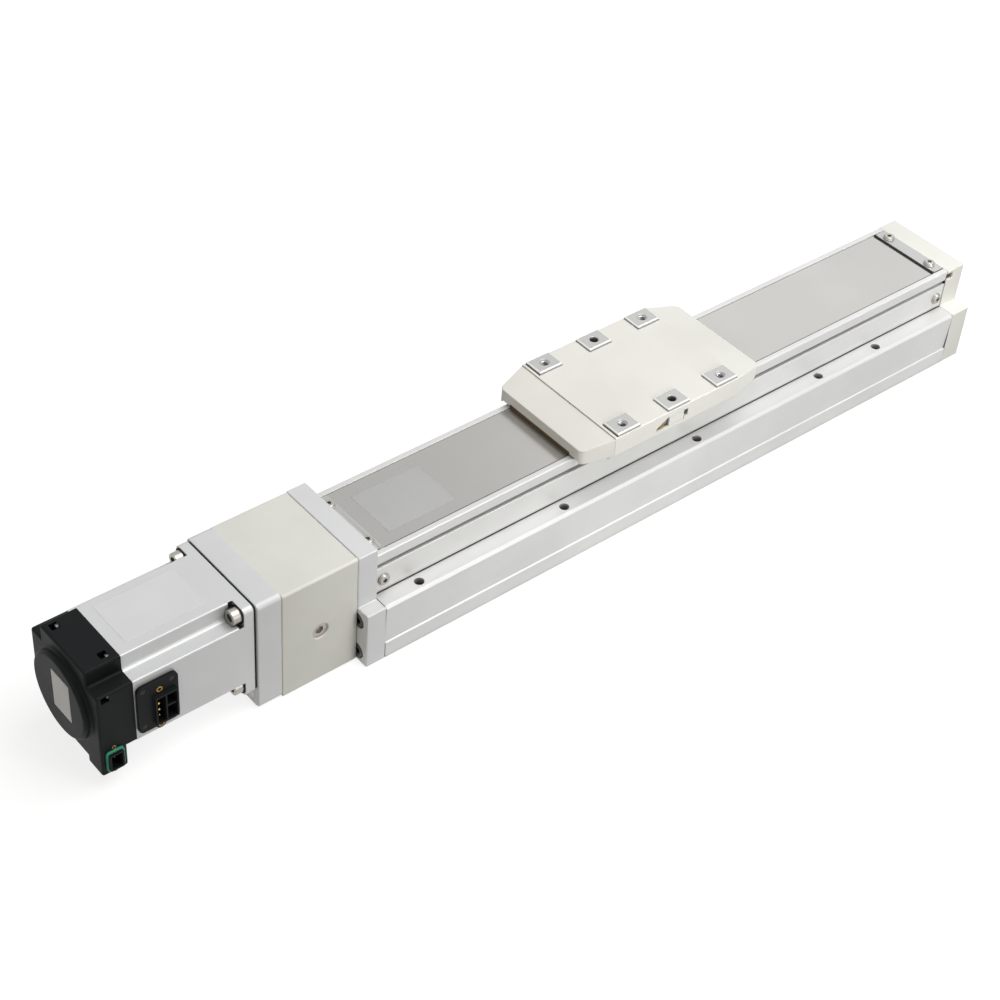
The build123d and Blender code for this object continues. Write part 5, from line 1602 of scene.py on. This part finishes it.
    def _cover(self) -> None:
        """Make the moulded rear cover with its boss, hanging block and windows."""
        cover = self._cross(self.rear, self.seam, self.half, self.arm)
        hanging = block(self.block_low, self.block_high)
        for form in (cover, hanging):
            bevel_where(form, lambda e: e.calc_face_angle(0.0) > 0.5
                        and (runs_along(e, 0) or middle(e).x < self.seam - 1.0),
                        self.rounding, 4)
        unite(cover, hanging)
        combine(cover, [self._boss()], "UNION", solver="MANIFOLD")
        merge_flat(cover)
        inner = self.half - self.window_depth - self.wall
        cut(cover, self._cross(self.rear + self.wall, self.seam + PAST, inner,
                               self.arm - self.wall))
        face = self.rear - self.boss_height
        cut(cover, bar((face + self.wall, 0.0, self.axis),
                       (self.rear + self.wall + 0.5, 0.0, self.axis),
                       self.boss_radius - 2 * self.wall))
        for place in self.windows:
            self._window(cover, place)
        x, z = self.plug
        (half, tall), (shift, radius) = self.plug_half, self.plug_screw
        cut(cover, rounded((x - half, -31.0, z - tall), (x + half, -24.0, z + tall), 1,
                           self.plug_rounding))
        for way in (-1, 1):
            cut(cover, bar((x, -31.0, z + way * shift), (x, -27.0, z + way * shift), radius,
                           sides=32))
        (left, low), (right, high), gap = self.plate_low, self.plate_high, self.plate_gap
        cut(cover, block((face - PAST, left - gap, low - gap),
                         (face + self.plate_sink, right + gap, high + gap)))
        settle(cover, "rear_cover", self.looks["black_moulding"], "base", ("encoder_cover",))

    def _window(self, cover: Solid, place: Point) -> None:
        """Cut one screw pocket and its bore into the cover.

        Args:
            cover: The rear cover.
            place: The screw's middle.
        """
        (x, y, z), half, floor = place, self.window_half, self.window_floor
        if abs(y) < self.arm:
            tool = block((x - half, y - half, z - floor),
                         (x + half, y + half, z + self.window_depth))
        else:
            side = math.copysign(1.0, y)
            near, far = sorted((y - side * floor, y + side * self.window_depth))
            tool = block((x - half, near, z - floor), (x + half, far, z + floor))
        cut(cover, tool, bar(place, (self.seam + PAST, y, z), self.window_bore, sides=16))

    def _films(self) -> None:
        """Lay the bare film on the case and the bare plate in the boss."""
        face = self.rear - self.boss_height
        plate = rounded((face + self.plate_lift, *self.plate_low),
                        (face + self.plate_sink, *self.plate_high), 0, self.plate_rounding)
        settle(plate, "bare_boss_plate", self.looks["boss_film"], "base")
        film = rounded(*self.case_film, 2, self.film_rounding)
        settle(film, "bare_case_film", self.looks["case_film"], "base")


@dataclass
class JointLines:
    """Dark rubber sheets and strips laid in the joints and gaps as painted shade where the cases
    and plates meet.
    """

    looks: dict[str, Look]
    # Dark sheets in the joints: painted shade
    sheets: tuple[tuple[str, Point, Point], ...] = (
        ("housing_front", (-232.72, -31.2, 0.6), (-232.28, 31.2, 70.7)),
        ("housing_motor", (-279.22, -30.95, 0.6), (-278.78, 30.95, 70.7)),
        ("flange", (-294.7, -29.55, 12.45), (-293.4, 29.55, 71.55)),
        ("end_cap_low", (219.78, -39.7, 1.2), (220.3, 39.7, 36.3)),
        ("end_cap_high", (219.78, -28.6, 30.0), (220.3, 28.6, 62.5)),
    )
    sheet_rounding: float = 2.8
    # Dark beads along the panel feet, strip edges and rear clamp: painted shade of the gaps
    beads: tuple[tuple[str, Point, Point], ...] = (
        ("panel_foot_near", (-219.8, -28.95, 36.45), (219.8, -28.3, 37.0)),
        ("panel_foot_far", (-219.8, 28.3, 36.45), (219.8, 28.95, 37.0)),
        ("strip_edge_near", (-211.0, -24.75, 62.3), (211.0, -24.35, 62.43)),
        ("strip_edge_far", (-211.0, 24.8, 62.3), (211.0, 25.05, 62.43)),
        ("clamp_lip_rear", (210.2, -24.3, 62.4), (211.7, 24.3, 63.05)),
    )
    # Brown block in the end cap's slots: painted shade of the recess
    cap_shade_pair: Corners = ((220.4, 26.3, 56.7), (225.3, 27.352, 60.3))
    strip_film: Corners = ((-202.0, -17.0, 62.38), (-158.0, 16.2, 62.43))
    film_rounding: float = 1.0

    def build(self) -> None:
        """Lay a painted-shade sheet in each joint, a painted-shade bead along each foot and
        edge, the painted-shade block in the cap's slots and the bare film.
        """
        shade_black = self.looks["bumper_rubber"]
        for label, low, high in self.sheets:
            settle(rounded(low, high, 0, self.sheet_rounding), f"joint_line_{label}", shade_black,
                   "base")
        for label, low, high in self.beads:
            settle(block(low, high), label, shade_black, "base")
        settle(join(both_sides(*self.cap_shade_pair)), "cap_slot_lining", self.looks["wiper_felt"],
               "base")
        settle(rounded(*self.strip_film, 2, self.film_rounding), "bare_strip_film",
               self.looks["strip_film"], "base")


def dress_nodes(looks: dict[str, Look], slots: dict[str, str]) -> None:
    """Give every CAD node the finish of its slot.

    Args:
        looks: Slot name to finished look.
        slots: Node name to slot name.
    """
    for name, node in frame["nodes"].items():
        node.data.materials.clear()
        node.data.materials.append(looks[NODE_FINISHES.get(name, slots[name])].material)
        LOG.info("dressed %s in %s", name, slots[name])


def write_sizes() -> None:
    """Update the view layer."""
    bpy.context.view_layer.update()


def main() -> None:
    """Build the dressed model and its studio."""
    logging.basicConfig(level=logging.INFO, format="%(message)s")
    effects = Effects()
    looks = {finish.key or finish.slot: Look(finish.build(effects), finish.slot)
             for finish in FINISHES}
    slots = {part["node"]: part["material_slot"] for part in frame["record"]["subparts"]}
    dress_nodes(looks, slots)
    deselect()
    BodyForms(looks, slots).build()
    motor = MotorUnit(looks)
    motor.build()
    JointLines(looks).build()
    SliderTop(looks).build()
    for row in screw_rows(motor):
        row.build(looks)
    Studio().build()
    write_sizes()


if __name__ == "__main__":
    main()
